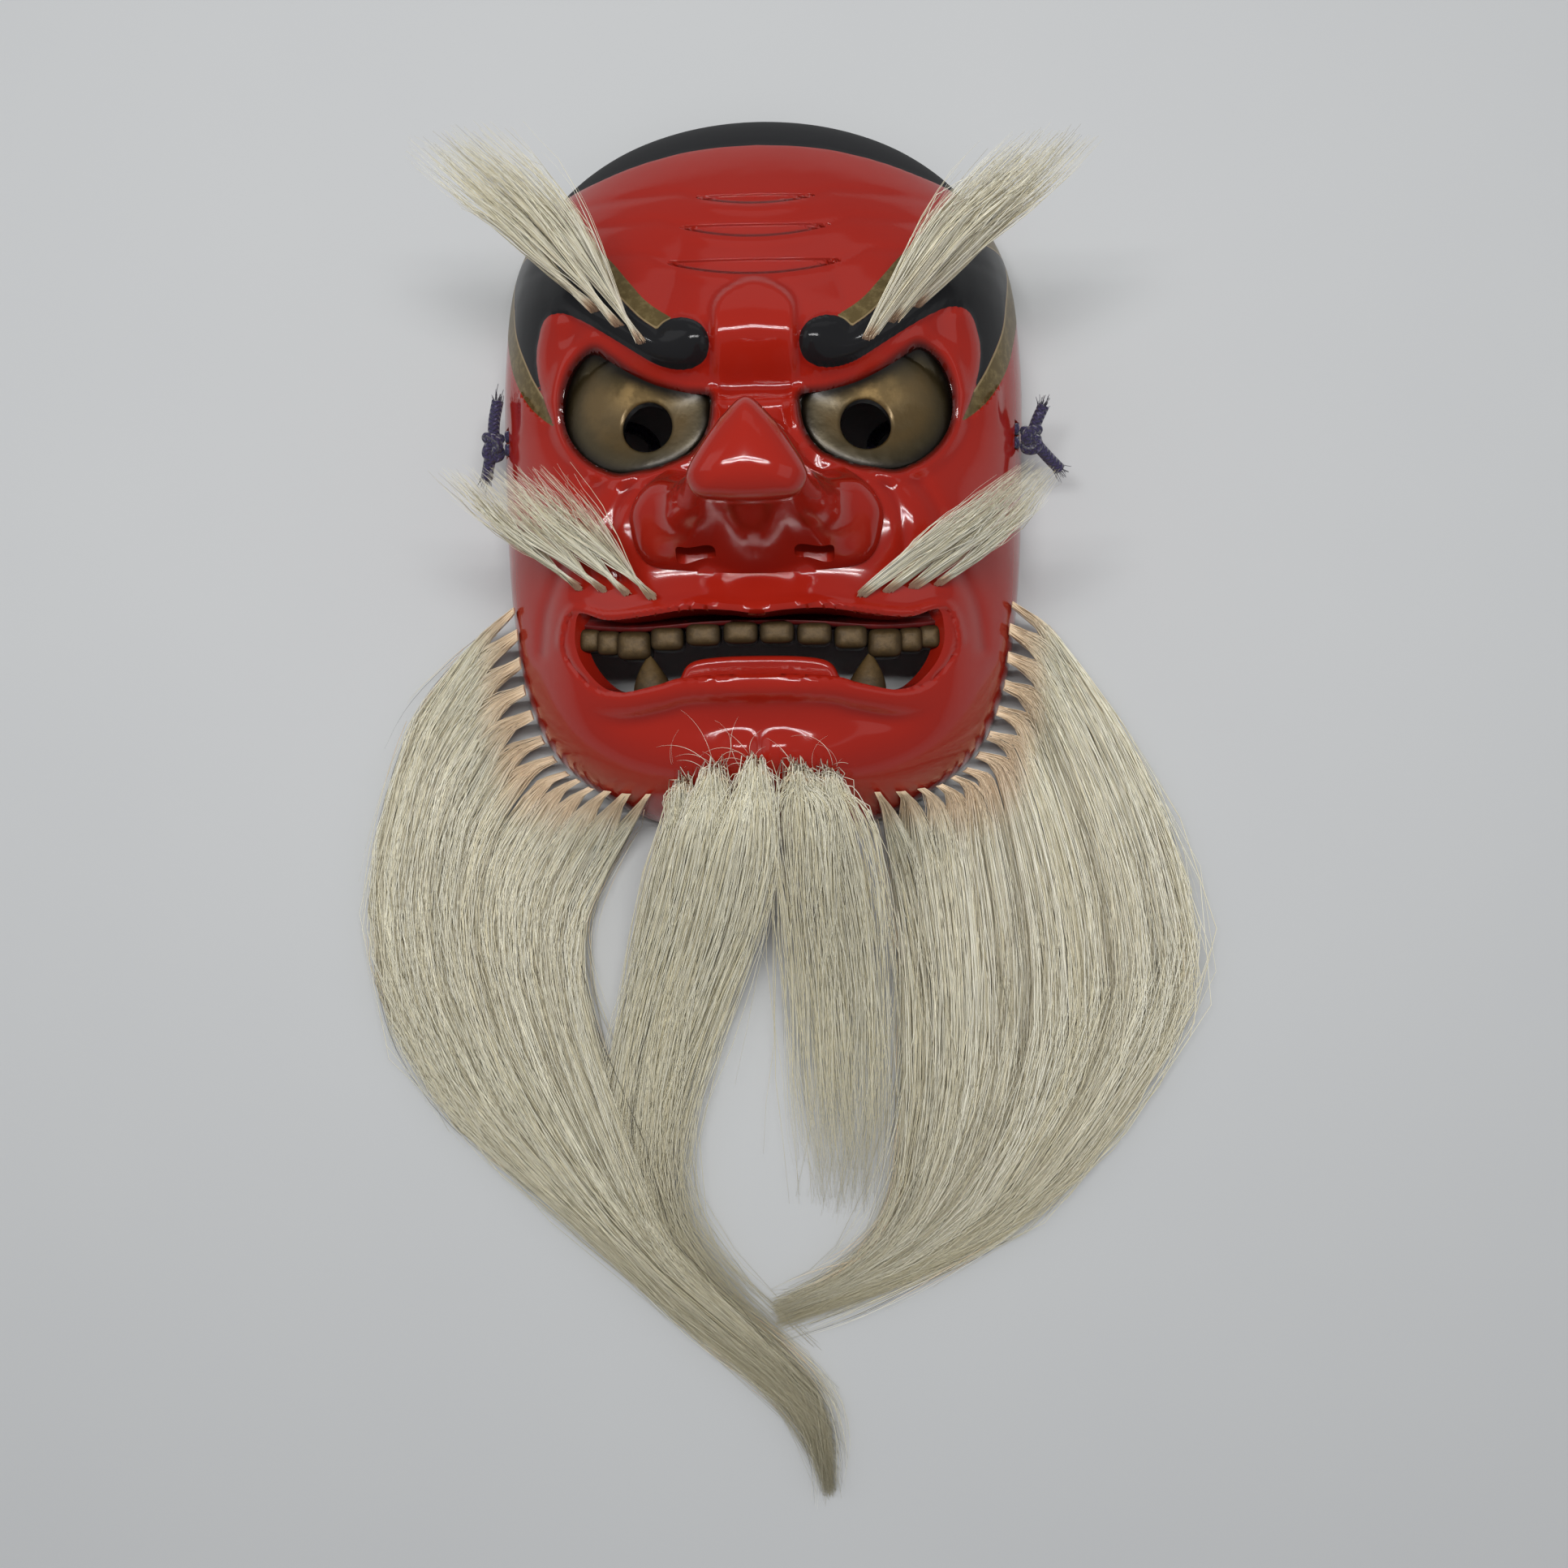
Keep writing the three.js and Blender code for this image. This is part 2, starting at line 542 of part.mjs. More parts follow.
// Wood that stands over the face by a height, inside an outline
function raised(outline, height) {
  const lifted = toManifold(outer.clone().translate(0, 0, height));
  return toManifold(prism(outline, MOUTH_FLOOR, OVER)).intersect(lifted);
}

// A raised edge around an opening that is cut out afterwards
function raisedEdge(outline, { width, height }) {
  const outside = isClockwise(outline) ? outline.slice().reverse() : outline;
  return raised(widened(outside, width), height);
}

function eyeball(side) {
  const outline = smoothLine(EYE, EYE_STEPS, true).reverse();
  const [middleX, middleY] = EYE_MIDDLE;
  const layer = (share, depth) =>
    outline.map((point) => {
      const x = mix(middleX, point.x, share);
      const y = mix(middleY, point.y, share);
      const swell = (EYE_BULGE + EYE_SUNK) * Math.sqrt(Math.max(0, 1 - Math.min(share, 1) ** 2));
      return new THREE.Vector3(side * x, y, faceHeight(x, y) - EYE_SUNK + swell - depth);
    });
  const top = EYE_RINGS.map((share) => layer(share, 0));
  const bottom = [layer(EYE_RINGS.at(-1), WALL)];
  const rings = [...top, ...bottom].map((ring) => (side > 0 ? ring : ring.slice().reverse()));
  const middle = faceHeight(middleX, middleY);
  const start = new THREE.Vector3(side * middleX, middleY, middle + EYE_BULGE);
  const end = new THREE.Vector3(side * middleX, middleY, middle - WALL);
  return toManifold(ringBody(start, rings, end));
}

function wrinkle({ half, y, top, bottom }) {
  const line = (sag) => Array.from({ length: WRINKLE_STEPS + 1 }, (_, i) => {
    const share = (2 * i) / WRINKLE_STEPS - 1;
    return new THREE.Vector3(share * half, y - sag * (1 - share * share), 0);
  });
  const outline = [...line(top), ...line(bottom).slice(1, -1).reverse()];
  const cutter = toManifold(prism(outline, 0, OVER));
  return cutter.subtract(toManifold(outer.clone().translate(0, 0, -WRINKLE_DEPTH)));
}

function mouthHole() {
  const outline = bothSides(MOUTH, MOUTH_STEPS).reverse();
  const layer = (share, z) => outline.map((point) => new THREE.Vector3(point.x * share, point.y, z));
  const bottom = MOUTH_FLOOR - 1;
  const rings = [layer(1, OVER), layer(1, MOUTH_WIDE_FROM), layer(MOUTH_NARROWS, bottom)];
  const [start, end] = [OVER, bottom].map((z) => new THREE.Vector3(0, MOUTH_MIDDLE, z));
  return toManifold(ringBody(start, rings, end));
}

function block(width, height, depth, bevel) {
  const corners = [];
  for (const sx of [-1, 1]) {
    for (const sy of [-1, 1]) {
      corners.push(new THREE.Vector3((sx * width) / 2, (sy * height) / 2, -depth));
      corners.push(new THREE.Vector3((sx * width) / 2, (sy * height) / 2, -bevel));
      corners.push(new THREE.Vector3(sx * (width / 2 - bevel), sy * (height / 2 - bevel), 0));
    }
  }
  return new ConvexGeometry(corners);
}

function mouthParts() {
  const parts = [toManifold(prism(GUM.map(vector), MOUTH_FLOOR, TEETH_TOP - TOOTH_BEVEL))];
  for (const side of [-1, 1]) {
    for (const { x, y, width, height } of TEETH) {
      const tooth = block(width - TOOTH_GAP, height, TEETH_DEPTH, TOOTH_BEVEL);
      parts.push(toManifold(tooth.translate(side * x, y, TEETH_TOP)));
    }
    const fang = new THREE.CylinderGeometry(FANG.point, FANG.width / 2, FANG.tip - FANG.root, ROUND_SIDES);
    fang.scale(1, 1, FANG.flat);
    parts.push(toManifold(fang.translate(side * FANG.x, (FANG.tip + FANG.root) / 2, FANG.z)));
  }
  const tongue = bothSides(TONGUE, TONGUE_STEPS);
  parts.push(toManifold(prism(tongue, MOUTH_FLOOR, TONGUE_TOP)));
  return parts;
}

function nostril(side) {
  const radius = NOSTRIL.height / 2;
  const hole = new THREE.CylinderGeometry(radius, radius, NOSTRIL.length, ROUND_SIDES);
  hole.scale(NOSTRIL.width / NOSTRIL.height, 1, 1);
  return toManifold(hole.translate(side * NOSTRIL.x, NOSTRIL.y, NOSTRIL.z));
}

function maskShell() {
  const lips = bothSides(MOUTH, MOUTH_STEPS);
  const mouthWood = toManifold(prism(widened(lips.slice().reverse(), MOUTH_RIM), MOUTH_FLOOR, OVER));
  let shell = outerSolid.subtract(toManifold(hollowSolid()).subtract(mouthWood));
  shell = shell.add(raisedEdge(lips, LIP));
  shell = shell.subtract(mouthHole());
  for (const part of mouthParts()) shell = shell.add(part);
  shell = shell.add(raised(bothSides(FROWN_PAD, FROWN_PAD_STEPS), FROWN_PAD_HEIGHT));
  for (const side of [-1, 1]) {
    const eye = smoothLine(flip(EYE, side), EYE_STEPS, true);
    const brow = smoothLine(flip(BROW, side), BROW_STEPS, true);
    shell = shell.add(raisedEdge(eye, LID));
    shell = shell.add(raised(brow, BROW_HEIGHT));
    shell = shell.subtract(toManifold(prism(eye, MOUTH_FLOOR, OVER)));
    shell = shell.add(eyeball(side));
    const pupil = new THREE.CylinderGeometry(PUPIL.radius, PUPIL.radius, OVER, PUPIL.sides);
    pupil.rotateX(Math.PI / 2).translate(side * PUPIL.x, PUPIL.y, MOUTH_FLOOR + OVER / 2);
    shell = shell.subtract(toManifold(pupil));
    shell = shell.subtract(nostril(side));
    const slot = new THREE.BoxGeometry(SLOT.length, SLOT.width, SLOT.height);
    shell = shell.subtract(toManifold(slot.translate(side * SLOT.x, SLOT.y, SLOT.z)));
  }
  for (const line of WRINKLES) shell = shell.subtract(wrinkle(line));
  return toGeometry(shell);
}

// A flattened, tapered body of hair along a list of points
function hairBody(points, halfWidths, halfThicknesses, sideways) {
  const rings = points.slice(0, -1).map((point, i) => {
    const tangent = points[i + 1].clone().sub(points[Math.max(i - 1, 0)]).normalize();
    const across = sideways[i].clone().normalize();
    const over = tangent.cross(across).normalize();
    return Array.from({ length: LOCK_SIDES }, (_, n) => {
      const turn = (2 * Math.PI * n) / LOCK_SIDES;
      return point
        .clone()
        .addScaledVector(across, -halfWidths[i] * Math.cos(turn))
        .addScaledVector(over, halfThicknesses[i] * Math.sin(turn));
    });
  });
  return ringBody(points[0], rings, points.at(-1));
}

// Width of a tuft over its length: thin at the root, full in the middle, drawn to a point
function fullness(share) {
  return ramp(0, HAIR_FULL_FROM, share) * (1 - HAIR_POINT * ramp(HAIR_FULL_TO, 1, share));
}

function fanTuft([first, second], lane, lanes) {
  const [firstLine, secondLine] = [first, second].map((line) => smoothLine(line, HAIR_LINE_STEPS));
  const point = (share, k) => along(firstLine, share).lerp(along(secondLine, share), k);
  const middle = (lane + 0.5) / lanes;
  const points = FAN_STATIONS.map((share) => point(share, middle));
  const sideways = FAN_STATIONS.map((share) => {
    const half = 0.5 / lanes;
    return point(share, middle + half).sub(point(share, middle - half));
  });
  const widths = FAN_STATIONS.map((share, i) => {
    const full = mix(ROOT_RADIUS, (LANE_FILL * sideways[i].length()) / 2, ramp(0, FAN_FULL_FROM, share));
    return full * (1 - FAN_POINT * ramp(FAN_FULL_TO, 1, share));
  });
  const thicknesses = FAN_STATIONS.map((share) => mix(ROOT_RADIUS, FAN_THICKNESS, fullness(share)));
  points.forEach((point, i) => {
    const lowest = faceHeight(point.x, point.y) + BROW_HEIGHT + thicknesses[i] + ROOT_GAP;
    point.z = Math.max(point.z, lowest);
  });
  return hairBody(points, widths, thicknesses, sideways);
}

// The shell's surface in a direction, at a height over the rim plane
function wallRadius(angle, height) {
  const rim = rimRadius(angle);
  let radius = rim;
  while (radius > 0 && facePoint(angle, radius).z < height) radius -= WALL_STEP;
  return Math.min(rim, radius + WALL_STEP);
}

// What hair lies on at a point: the ground, or the mask's own wall where it passes over the rim
function supportHeight(x, y) {
  const angle = Math.atan2(y - FACE_MIDDLE, x);
  const radius = Math.hypot(x, y - FACE_MIDDLE) - WALL_CLEARANCE;
  return radius < rimRadius(angle) ? facePoint(angle, radius).z : 0;
}

function outsideWall([x, y, z]) {
  const angle = Math.atan2(y - FACE_MIDDLE, x);
  const radius = Math.max(wallRadius(angle, z) + ROOT_RADIUS + ROOT_GAP, Math.hypot(x, y - FACE_MIDDLE));
  return new THREE.Vector3(radius * Math.cos(angle), FACE_MIDDLE + radius * Math.sin(angle), z);
}

function settled(point, halfThickness) {
  const lowest = supportHeight(point.x, point.y) + halfThickness + GROUND_GAP;
  return point.clone().setZ(Math.max(point.z, lowest));
}

function beardTuft(side, lane) {
  const { outer: outerLine, inner: innerLine } = BEARD_LINES[side];
  const [outside, inside] = [outerLine, innerLine].map((line) => smoothLine(line, HAIR_LINE_STEPS));
  const sign = side === "left" ? -1 : 1;
  const roots = flip(BEARD_ROOTS, sign).map(outsideWall);
  const lanes = roots.length;
  const sweep = (share, k) => along(outside, share).lerp(along(inside, share), k);
  const rootOf = (k) => along(roots, (k * lanes - 0.5) / (lanes - 1));
  const point = (share, k) => {
    const turn = ramp(BEARD_ROOT_SHARE, 0, share);
    const shift = rootOf(k).sub(sweep(0, k)).setZ(0).multiplyScalar(turn);
    const fall = (1 - Math.min(1, share / BEARD_FALL_SHARE)) ** BEARD_FALL;
    return sweep(share, k).add(shift).setZ(rootOf(k).z * fall);
  };
  const middle = (lane + 0.5) / lanes;
  const half = 0.5 / lanes;
  const points = BEARD_STATIONS.map((share) => point(share, middle));
  let length = 0;
  const widths = [];
  const thicknesses = [];
  const sideways = BEARD_STATIONS.map((share, i) => {
    const across = point(share, middle + half).sub(point(share, middle - half)).setZ(0);
    length += i ? points[i].distanceTo(points[i - 1]) : 0;
    widths.push(Math.min((LANE_FILL * across.length()) / 2, ROOT_RADIUS + BEARD_GROWTH * length));
    thicknesses.push(mix(ROOT_RADIUS, BEARD_THICKNESS, fullness(share)));
    return sign > 0 ? across.negate() : across;
  });
  const settledPoints = points.map((point, i) => settled(point, thicknesses[i]));
  return hairBody(settledPoints, widths, thicknesses, sideways);
}

function chinLock({ width, line }) {
  const smooth = smoothLine(line, HAIR_LINE_STEPS);
  const points = CHIN_STATIONS.map((share) => along(smooth, share));
  const widths = CHIN_STATIONS.map((share) => mix(ROOT_RADIUS, width, fullness(share)));
  const thicknesses = CHIN_STATIONS.map((share) => mix(ROOT_RADIUS, BEARD_THICKNESS, fullness(share)));
  const sideways = points.map(() => new THREE.Vector3(1, 0, 0));
  const settledPoints = points.map((point, i) => settled(point, thicknesses[i] + CHIN_LIFT));
  return hairBody(settledPoints, widths, thicknesses, sideways);
}

// A round cord along a line
function tube(points, radius, steps) {
  const section = new THREE.Shape(
    Array.from({ length: CORD_SIDES }, (_, i) => {
      const turn = (2 * Math.PI * i) / CORD_SIDES;
      return new THREE.Vector2(radius * Math.cos(turn), radius * Math.sin(turn));
    }),
  );
  const curve = new THREE.CatmullRomCurve3(points.map(vector), false, "centripetal");
  return new THREE.ExtrudeGeometry(section, { steps, extrudePath: curve, bevelEnabled: false });
}

function knot(side, sign) {
  const ball = new THREE.SphereGeometry(1, CORD_SIDES, KNOT_BANDS).scale(KNOT.across, KNOT.along, KNOT.high);
  let solid = toManifold(ball.translate(sign * KNOT.x, KNOT.y, KNOT.z));
  for (const tail of TAILS[side]) {
    solid = solid.add(toManifold(tube(flip(tail, sign), CORD_RADIUS, TAIL_STEPS)));
  }
  return toGeometry(solid);
}

const mask = new THREE.Group();

function add(name, geometry, look) {
  const mesh = new THREE.Mesh(geometry, new THREE.MeshStandardMaterial(look));
  mesh.name = name;
  mask.add(mesh);
}

add("mask_shell", maskShell(), LACQUER);
for (const side of ["left", "right"]) {
  for (let i = 0; i < BROW_TUFTS; i += 1) {
    add(`brow_tuft_${side}_${i + 1}`, fanTuft(BROW_FANS[side], i, BROW_TUFTS), HAIR);
  }
  for (let i = 0; i < MOUSTACHE_TUFTS; i += 1) {
    add(`moustache_tuft_${side}_${i + 1}`, fanTuft(MOUSTACHE_FANS[side], i, MOUSTACHE_TUFTS), HAIR);
  }
  for (let i = 0; i < BEARD_ROOTS.length; i += 1) {
    add(`beard_tuft_${side}_${i + 1}`, beardTuft(side, i), HAIR);
  }
}
CHIN_LOCKS.forEach((lock, i) => add(`chin_lock_${i + 1}`, chinLock(lock), HAIR));

// The origin is the middle of the mask's own box, without the cords, on the rim plane
const box = new THREE.Box3().setFromObject(mask);
for (const [side, sign] of [["left", -1], ["right", 1]]) {
  add(`head_cord_${side}`, tube(flip(CORD_ROUTE, sign), CORD_RADIUS, CORD_STEPS), CORD);
  add(`cord_knot_${side}`, knot(side, sign), CORD);
}
mask.position.set(-(box.min.x + box.max.x) / 2, -(box.min.y + box.max.y) / 2, -box.min.z);

export default mask;
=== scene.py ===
import math

import bpy
import numpy as np
from mathutils import Matrix, Vector


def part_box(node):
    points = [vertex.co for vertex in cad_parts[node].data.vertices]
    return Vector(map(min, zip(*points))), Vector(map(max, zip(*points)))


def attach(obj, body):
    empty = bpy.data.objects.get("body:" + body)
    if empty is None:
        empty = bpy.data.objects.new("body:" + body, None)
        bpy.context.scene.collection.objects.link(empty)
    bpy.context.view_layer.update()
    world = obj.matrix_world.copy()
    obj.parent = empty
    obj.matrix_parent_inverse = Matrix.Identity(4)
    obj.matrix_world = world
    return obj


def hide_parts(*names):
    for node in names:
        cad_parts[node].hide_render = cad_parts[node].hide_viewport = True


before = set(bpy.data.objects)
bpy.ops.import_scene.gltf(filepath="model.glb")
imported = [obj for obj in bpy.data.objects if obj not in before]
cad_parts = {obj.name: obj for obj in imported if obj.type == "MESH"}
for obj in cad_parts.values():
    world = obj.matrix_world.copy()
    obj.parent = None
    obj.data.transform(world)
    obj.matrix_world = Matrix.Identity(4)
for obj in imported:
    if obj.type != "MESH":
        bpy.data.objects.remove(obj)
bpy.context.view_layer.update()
scene = bpy.context.scene

# The mask lies on its rim. Its shell's own box ties the carver's lines to the frame: the shell is the
# same on both sides of x = 0, its forehead ends at FOREHEAD_END, and its rim is the lowest part.
FOREHEAD_END = 277.0
shell_low, shell_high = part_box("mask_shell")
CARVER_ORIGIN = np.array([
    500 * (shell_low[0] + shell_high[0]),
    1000 * shell_high[1] - FOREHEAD_END,
    1000 * shell_low[2],
])


def place(points):
    return (np.asarray(points, float) + CARVER_ORIGIN) / 1000


# Camera: a hand-held camera looks straight down on the mask from about 60 cm, over its chin.
CAMERA_AT = (22.97, 18.0, 615.1)
CAMERA_TILT = (-0.23, -1.51, 0.53)
CAMERA_FOCUS = 1935
PHOTO_WIDTH = 1932
tilt_x, tilt_y, tilt_z = [Matrix.Rotation(math.radians(a), 3, n) for a, n in zip(CAMERA_TILT, "XYZ")]
lens = bpy.data.cameras.new("camera")
lens.sensor_width = 36
lens.lens = lens.sensor_width * CAMERA_FOCUS / PHOTO_WIDTH
lens.clip_start = 0.01
camera = bpy.data.objects.new("camera", lens)
scene.collection.objects.link(camera)
camera.matrix_world = Matrix.Translation(place(CAMERA_AT)) @ (tilt_z @ tilt_y @ tilt_x).transposed().to_4x4()
scene.camera = camera

# Head cords: a short round braid of violet rayon goes through the slot at each side of the mask. It is
# doubled, so that a head band can be drawn through its loop inside, and knotted outside the slot with
# two cut tails. The loop hangs down the inner wall and lies on the table under the mask.
CORD_RADIUS = 2.2
CORD_SIDES = 20
CORD_END = 96.6
CORD_ROUTE = [
    (CORD_END, 147.5, 25), (90, 147.4, 25), (84.5, 146.8, 23.4), (80, 145.6, 18), (77.2, 143.8, 10.5),
    (73, 141.4, 4.6), (65, 139.6, 2.6), (54, 141, 2.5), (45, 146, 2.5), (42.5, 153, 2.5),
    (47.5, 159, 2.5), (57, 161, 2.5), (67, 158.6, 2.6), (74, 155.6, 5), (78, 153.8, 11),
    (80.6, 152.9, 18.4), (85, 152.6, 23.6), (90, 152.5, 25), (CORD_END, 152.5, 25),
]
KNOT_AT = (101.2, 149, 25.5)
KNOT_REACH = (2.3, 4.4, 2.7)
KNOT_STRAND = 1.95
KNOT_STRAND_SIDES = 14
FRAYED_FIBRES = 26
CORD_TAILS = {
    "left": [
        [(101, 151, 26), (100.5, 158, 27), (99, 165.5, 27.5)],
        [(102, 147, 25), (103.5, 141, 24), (104.5, 137.5, 22)],
    ],
    "right": [
        [(101.6, 151, 26), (103.5, 156, 27), (105.6, 160.5, 28)],
        [(103, 147, 25), (108, 142, 23), (112.5, 138, 21)],
    ],
}
CORD_VIOLET = (0.030, 0.022, 0.075, 1)
CORD_SHADE = (0.006, 0.006, 0.020, 1)
CORD_PALE = (0.20, 0.18, 0.30, 1)
BRAID_CELL = 1.7


def smooth_line(points, steps, closed=False):
    """Points on the smooth line through the given ones, with the given steps between each two."""
    points = np.asarray(points, float)
    if closed:
        ends = np.vstack([points[-1], points, points[0], points[1]])
    else:
        ends = np.vstack([2 * points[0] - points[1], points, 2 * points[-1] - points[-2]])
    t = (np.arange(steps) / steps)[:, None]
    spans = []
    for a, b, c, d in zip(ends, ends[1:], ends[2:], ends[3:]):
        bend = (2 * a - 5 * b + 4 * c - d) * t**2 + (3 * b - a - 3 * c + d) * t**3
        spans.append(0.5 * (2 * b + (c - a) * t + bend))
    line = np.vstack(spans)
    return line if closed else np.vstack([line, points[-1]])


def unit(vectors):
    return vectors / np.maximum(np.linalg.norm(vectors, axis=-1, keepdims=True), 1e-12)


def ring_quads(count, sides):
    """The four-cornered faces that join a row of rings, each with the given number of vertices."""
    ring, side = np.meshgrid(np.arange(count - 1), np.arange(sides), indexing="ij")
    here, after = ring * sides, (side + 1) % sides
    corners = [here + side, here + after, here + sides + after, here + sides + side]
    return np.stack(corners, -1).reshape(-1, 4)


def tube(path, radius, sides):
    """A closed round tube, with how far along and around it each vertex is."""
    path = np.asarray(path, float)
    tangents = unit(np.gradient(path, axis=0))
    across = unit(np.cross(tangents[0], (0.3, 0.2, 0.93)))
    normals = []
    for tangent in tangents:
        across = unit(across - tangent * (across @ tangent))
        normals.append(across)
    normals = np.array(normals)
    others = np.cross(tangents, normals)
    turn = 2 * np.pi * np.arange(sides) / sides
    radius = np.broadcast_to(radius, len(path))[:, None, None]
    rings = np.cos(turn)[None, :, None] * normals[:, None] + np.sin(turn)[None, :, None] * others[:, None]
    vertices = (path[:, None] + radius * rings).reshape(-1, 3)
    first, last = np.arange(sides)[::-1], (len(path) - 1) * sides + np.arange(sides)
    reach = np.concatenate([[0], np.cumsum(np.linalg.norm(np.diff(path, axis=0), axis=1))])
    marks = {"along": np.repeat(reach, sides), "around": np.tile(np.arange(sides) / sides, len(path))}
    return vertices, [ring_quads(len(path), sides), first[None], last[None]], marks


def joined(parts):
    """One body from several, each with its vertices, faces and marks."""
    vertices, faces, count = [], [], 0
    for part in parts:
        faces += [rows + count for rows in part[1]]
        vertices.append(part[0])
        count += len(part[0])
    marks = {name: np.concatenate([part[2][name] for part in parts]) for name in parts[0][2]}
    return np.vstack(vertices), faces, marks


def make_mesh(name, vertices, faces, marks=None):
    """A smooth mesh from rows of faces with any number of corners, and a mark on each vertex."""
    mesh = bpy.data.meshes.new(name)
    corners = np.concatenate([rows.ravel() for rows in faces])
    sizes = np.concatenate([np.full(len(rows), rows.shape[1]) for rows in faces])
    mesh.vertices.add(len(vertices))
    mesh.vertices.foreach_set("co", place(vertices).astype(np.float32).ravel())
    mesh.loops.add(len(corners))
    mesh.loops.foreach_set("vertex_index", corners.astype(np.int32))
    mesh.polygons.add(len(sizes))
    mesh.polygons.foreach_set("loop_start", np.concatenate([[0], np.cumsum(sizes)[:-1]]).astype(np.int32))
    mesh.polygons.foreach_set("use_smooth", np.ones(len(sizes), bool))
    mesh.update(calc_edges=True)
    mesh.validate()
    add_marks(mesh, marks or {})
    return mesh


def add_marks(mesh, marks):
    for name, values in marks.items():
        mark = mesh.attributes.new(name, "FLOAT", "POINT")
        mark.data.foreach_set("value", np.asarray(values, np.float32))


def make_piece(mesh, finishes, nodes=()):
    piece = bpy.data.objects.new(mesh.name, mesh)
    scene.collection.objects.link(piece)
    mesh.materials.clear()
    for finish in finishes:
        mesh.materials.append(finish.material)
    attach(piece, "root")
    if nodes:
        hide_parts(*nodes)
    return piece


class Signal:
    """A value that flows through a finish. Sums written with it become the finish's own nodes."""

    def __init__(self, finish, socket):
        self.finish = finish
        self.socket = socket

    def __add__(self, other):
        return self.finish.maths("ADD", self, other)

    def __mul__(self, other):
        return self.finish.maths("MULTIPLY", self, other)

    def __sub__(self, other):
        return self.finish.maths("SUBTRACT", self, other)

    def __rsub__(self, other):
        return self.finish.maths("SUBTRACT", other, self)

    def __mod__(self, other):
        return self.finish.maths("FLOORED_MODULO", self, other)

    __radd__ = __add__
    __rmul__ = __mul__


class Finish:
    """A material: constants go on its shader, and what changes over the surface is linked to it."""

    def __init__(self, name, **constants):
        self.material = bpy.data.materials.new(name)
        self.material.use_nodes = True
        self.tree = self.material.node_tree
        self.shader = self.tree.nodes["Principled BSDF"]
        for key, value in constants.items():
            self.shader.inputs[key.replace("_", " ").title().replace("Ior", "IOR")].default_value = value

    def node(self, kind, settings=None, values=(), output=0):
        node = self.tree.nodes.new(kind)
        for key, value in (settings or {}).items():
            if key == "stops":
                while len(node.color_ramp.elements) < len(value):
                    node.color_ramp.elements.new(0.5)
                for element, (position, color) in zip(node.color_ramp.elements, value):
                    element.position = position
                    element.color = color
            else:
                setattr(node, key, value)
        for key, value in values.items() if isinstance(values, dict) else enumerate(values):
            if isinstance(value, Signal):
                self.tree.links.new(value.socket, node.inputs[key])
            else:
                node.inputs[key].default_value = value
        return Signal(self, node.outputs[output])

    def maths(self, operation, *values):
        return self.node("ShaderNodeMath", {"operation": operation}, values)

    def mark(self, name):
        return self.node("ShaderNodeAttribute", {"attribute_name": name}, output="Fac")

    def spot(self):
        return self.node("ShaderNodeTexCoord", output="Object")

    def noise(self, per_metre, detail=3, rough=0.5, at=None):
        inputs = {"Vector": at or self.spot(), "Scale": per_metre, "Detail": detail, "Roughness": rough}
        return self.node("ShaderNodeTexNoise", {}, inputs)

    def ramp(self, value, start, end, low=0, high=1):
        inputs = {"Value": value, "From Min": start, "From Max": end, "To Min": low, "To Max": high}
        return self.node("ShaderNodeMapRange", {"interpolation_type": "SMOOTHSTEP"}, inputs)

    def blend(self, share, first, second):
        return self.node("ShaderNodeMix", {"data_type": "RGBA"}, {0: share, 6: first, 7: second}, 2)

    def bump(self, height, distance, strength=1):
        inputs = {"Height": height, "Distance": distance, "Strength": strength}
        return self.node("ShaderNodeBump", {}, inputs)

    def link(self, **signals):
        for key, signal in signals.items():
            self.tree.links.new(signal.socket, self.shader.inputs[key.replace("_", " ").title()])

    def dull(self, share, color):
        """Over a share of the surface the gloss gives way to bare matt paint."""
        matt = self.node("ShaderNodeBsdfDiffuse", {}, {"Color": color})
        gloss = Signal(self, self.shader.outputs[0])
        mixed = self.node("ShaderNodeMixShader", {}, {0: share, 1: gloss, 2: matt})
        self.tree.links.new(mixed.socket, self.tree.nodes["Material Output"].inputs["Surface"])


def braid_finish():
    finish = Finish("violet_braid", roughness=0.78, sheen_weight=0.35, sheen_roughness=0.4)
    along = finish.mark("along") * (1 / BRAID_CELL)
    around = finish.mark("around") * 4
    rising, falling = along + around, along - around
    over = (finish.maths("FLOOR", rising) + finish.maths("FLOOR", falling)) % 2
    ridge_one = finish.maths("SINE", (rising % 1) * math.pi)
    ridge_two = finish.maths("SINE", (falling % 1) * math.pi)
    ridge = ridge_one * over + ridge_two * (1 - over)
    fibre = finish.noise(2600, 2)
    pale = finish.ramp(finish.noise(620, 1), 0.60, 0.72, 0, 0.55)
    shaded = finish.blend(finish.ramp(ridge, 0.05, 0.75), CORD_SHADE, CORD_VIOLET)
    finish.link(
        base_color=finish.blend(pale * ridge, shaded, CORD_PALE),
        normal=finish.bump(ridge + fibre * 0.35, 0.0005),
    )
    return finish


cord_finish = braid_finish()
loose = np.random.default_rng(11)


def frayed_end(line, count):
    """Loose fibres at the cut end of a braid."""
    end, way = line[-1], unit(line[-1] - line[-4])
    fibres = []
    for _ in range(count):
        spread = loose.normal(0, 0.42, 3)
        start = end - 1.2 * way + spread * 1.9
        bend = loose.normal(0, 0.5, 3)
        reach = loose.uniform(1.8, 4.2)
        steps = np.linspace(0, 1, 7)[:, None]
        path = start + way * reach * steps + spread * 1.4 * steps**1.5 + bend * steps**2
        fibres.append(tube(path, np.linspace(0.17, 0.09, 7), 4))
    return fibres


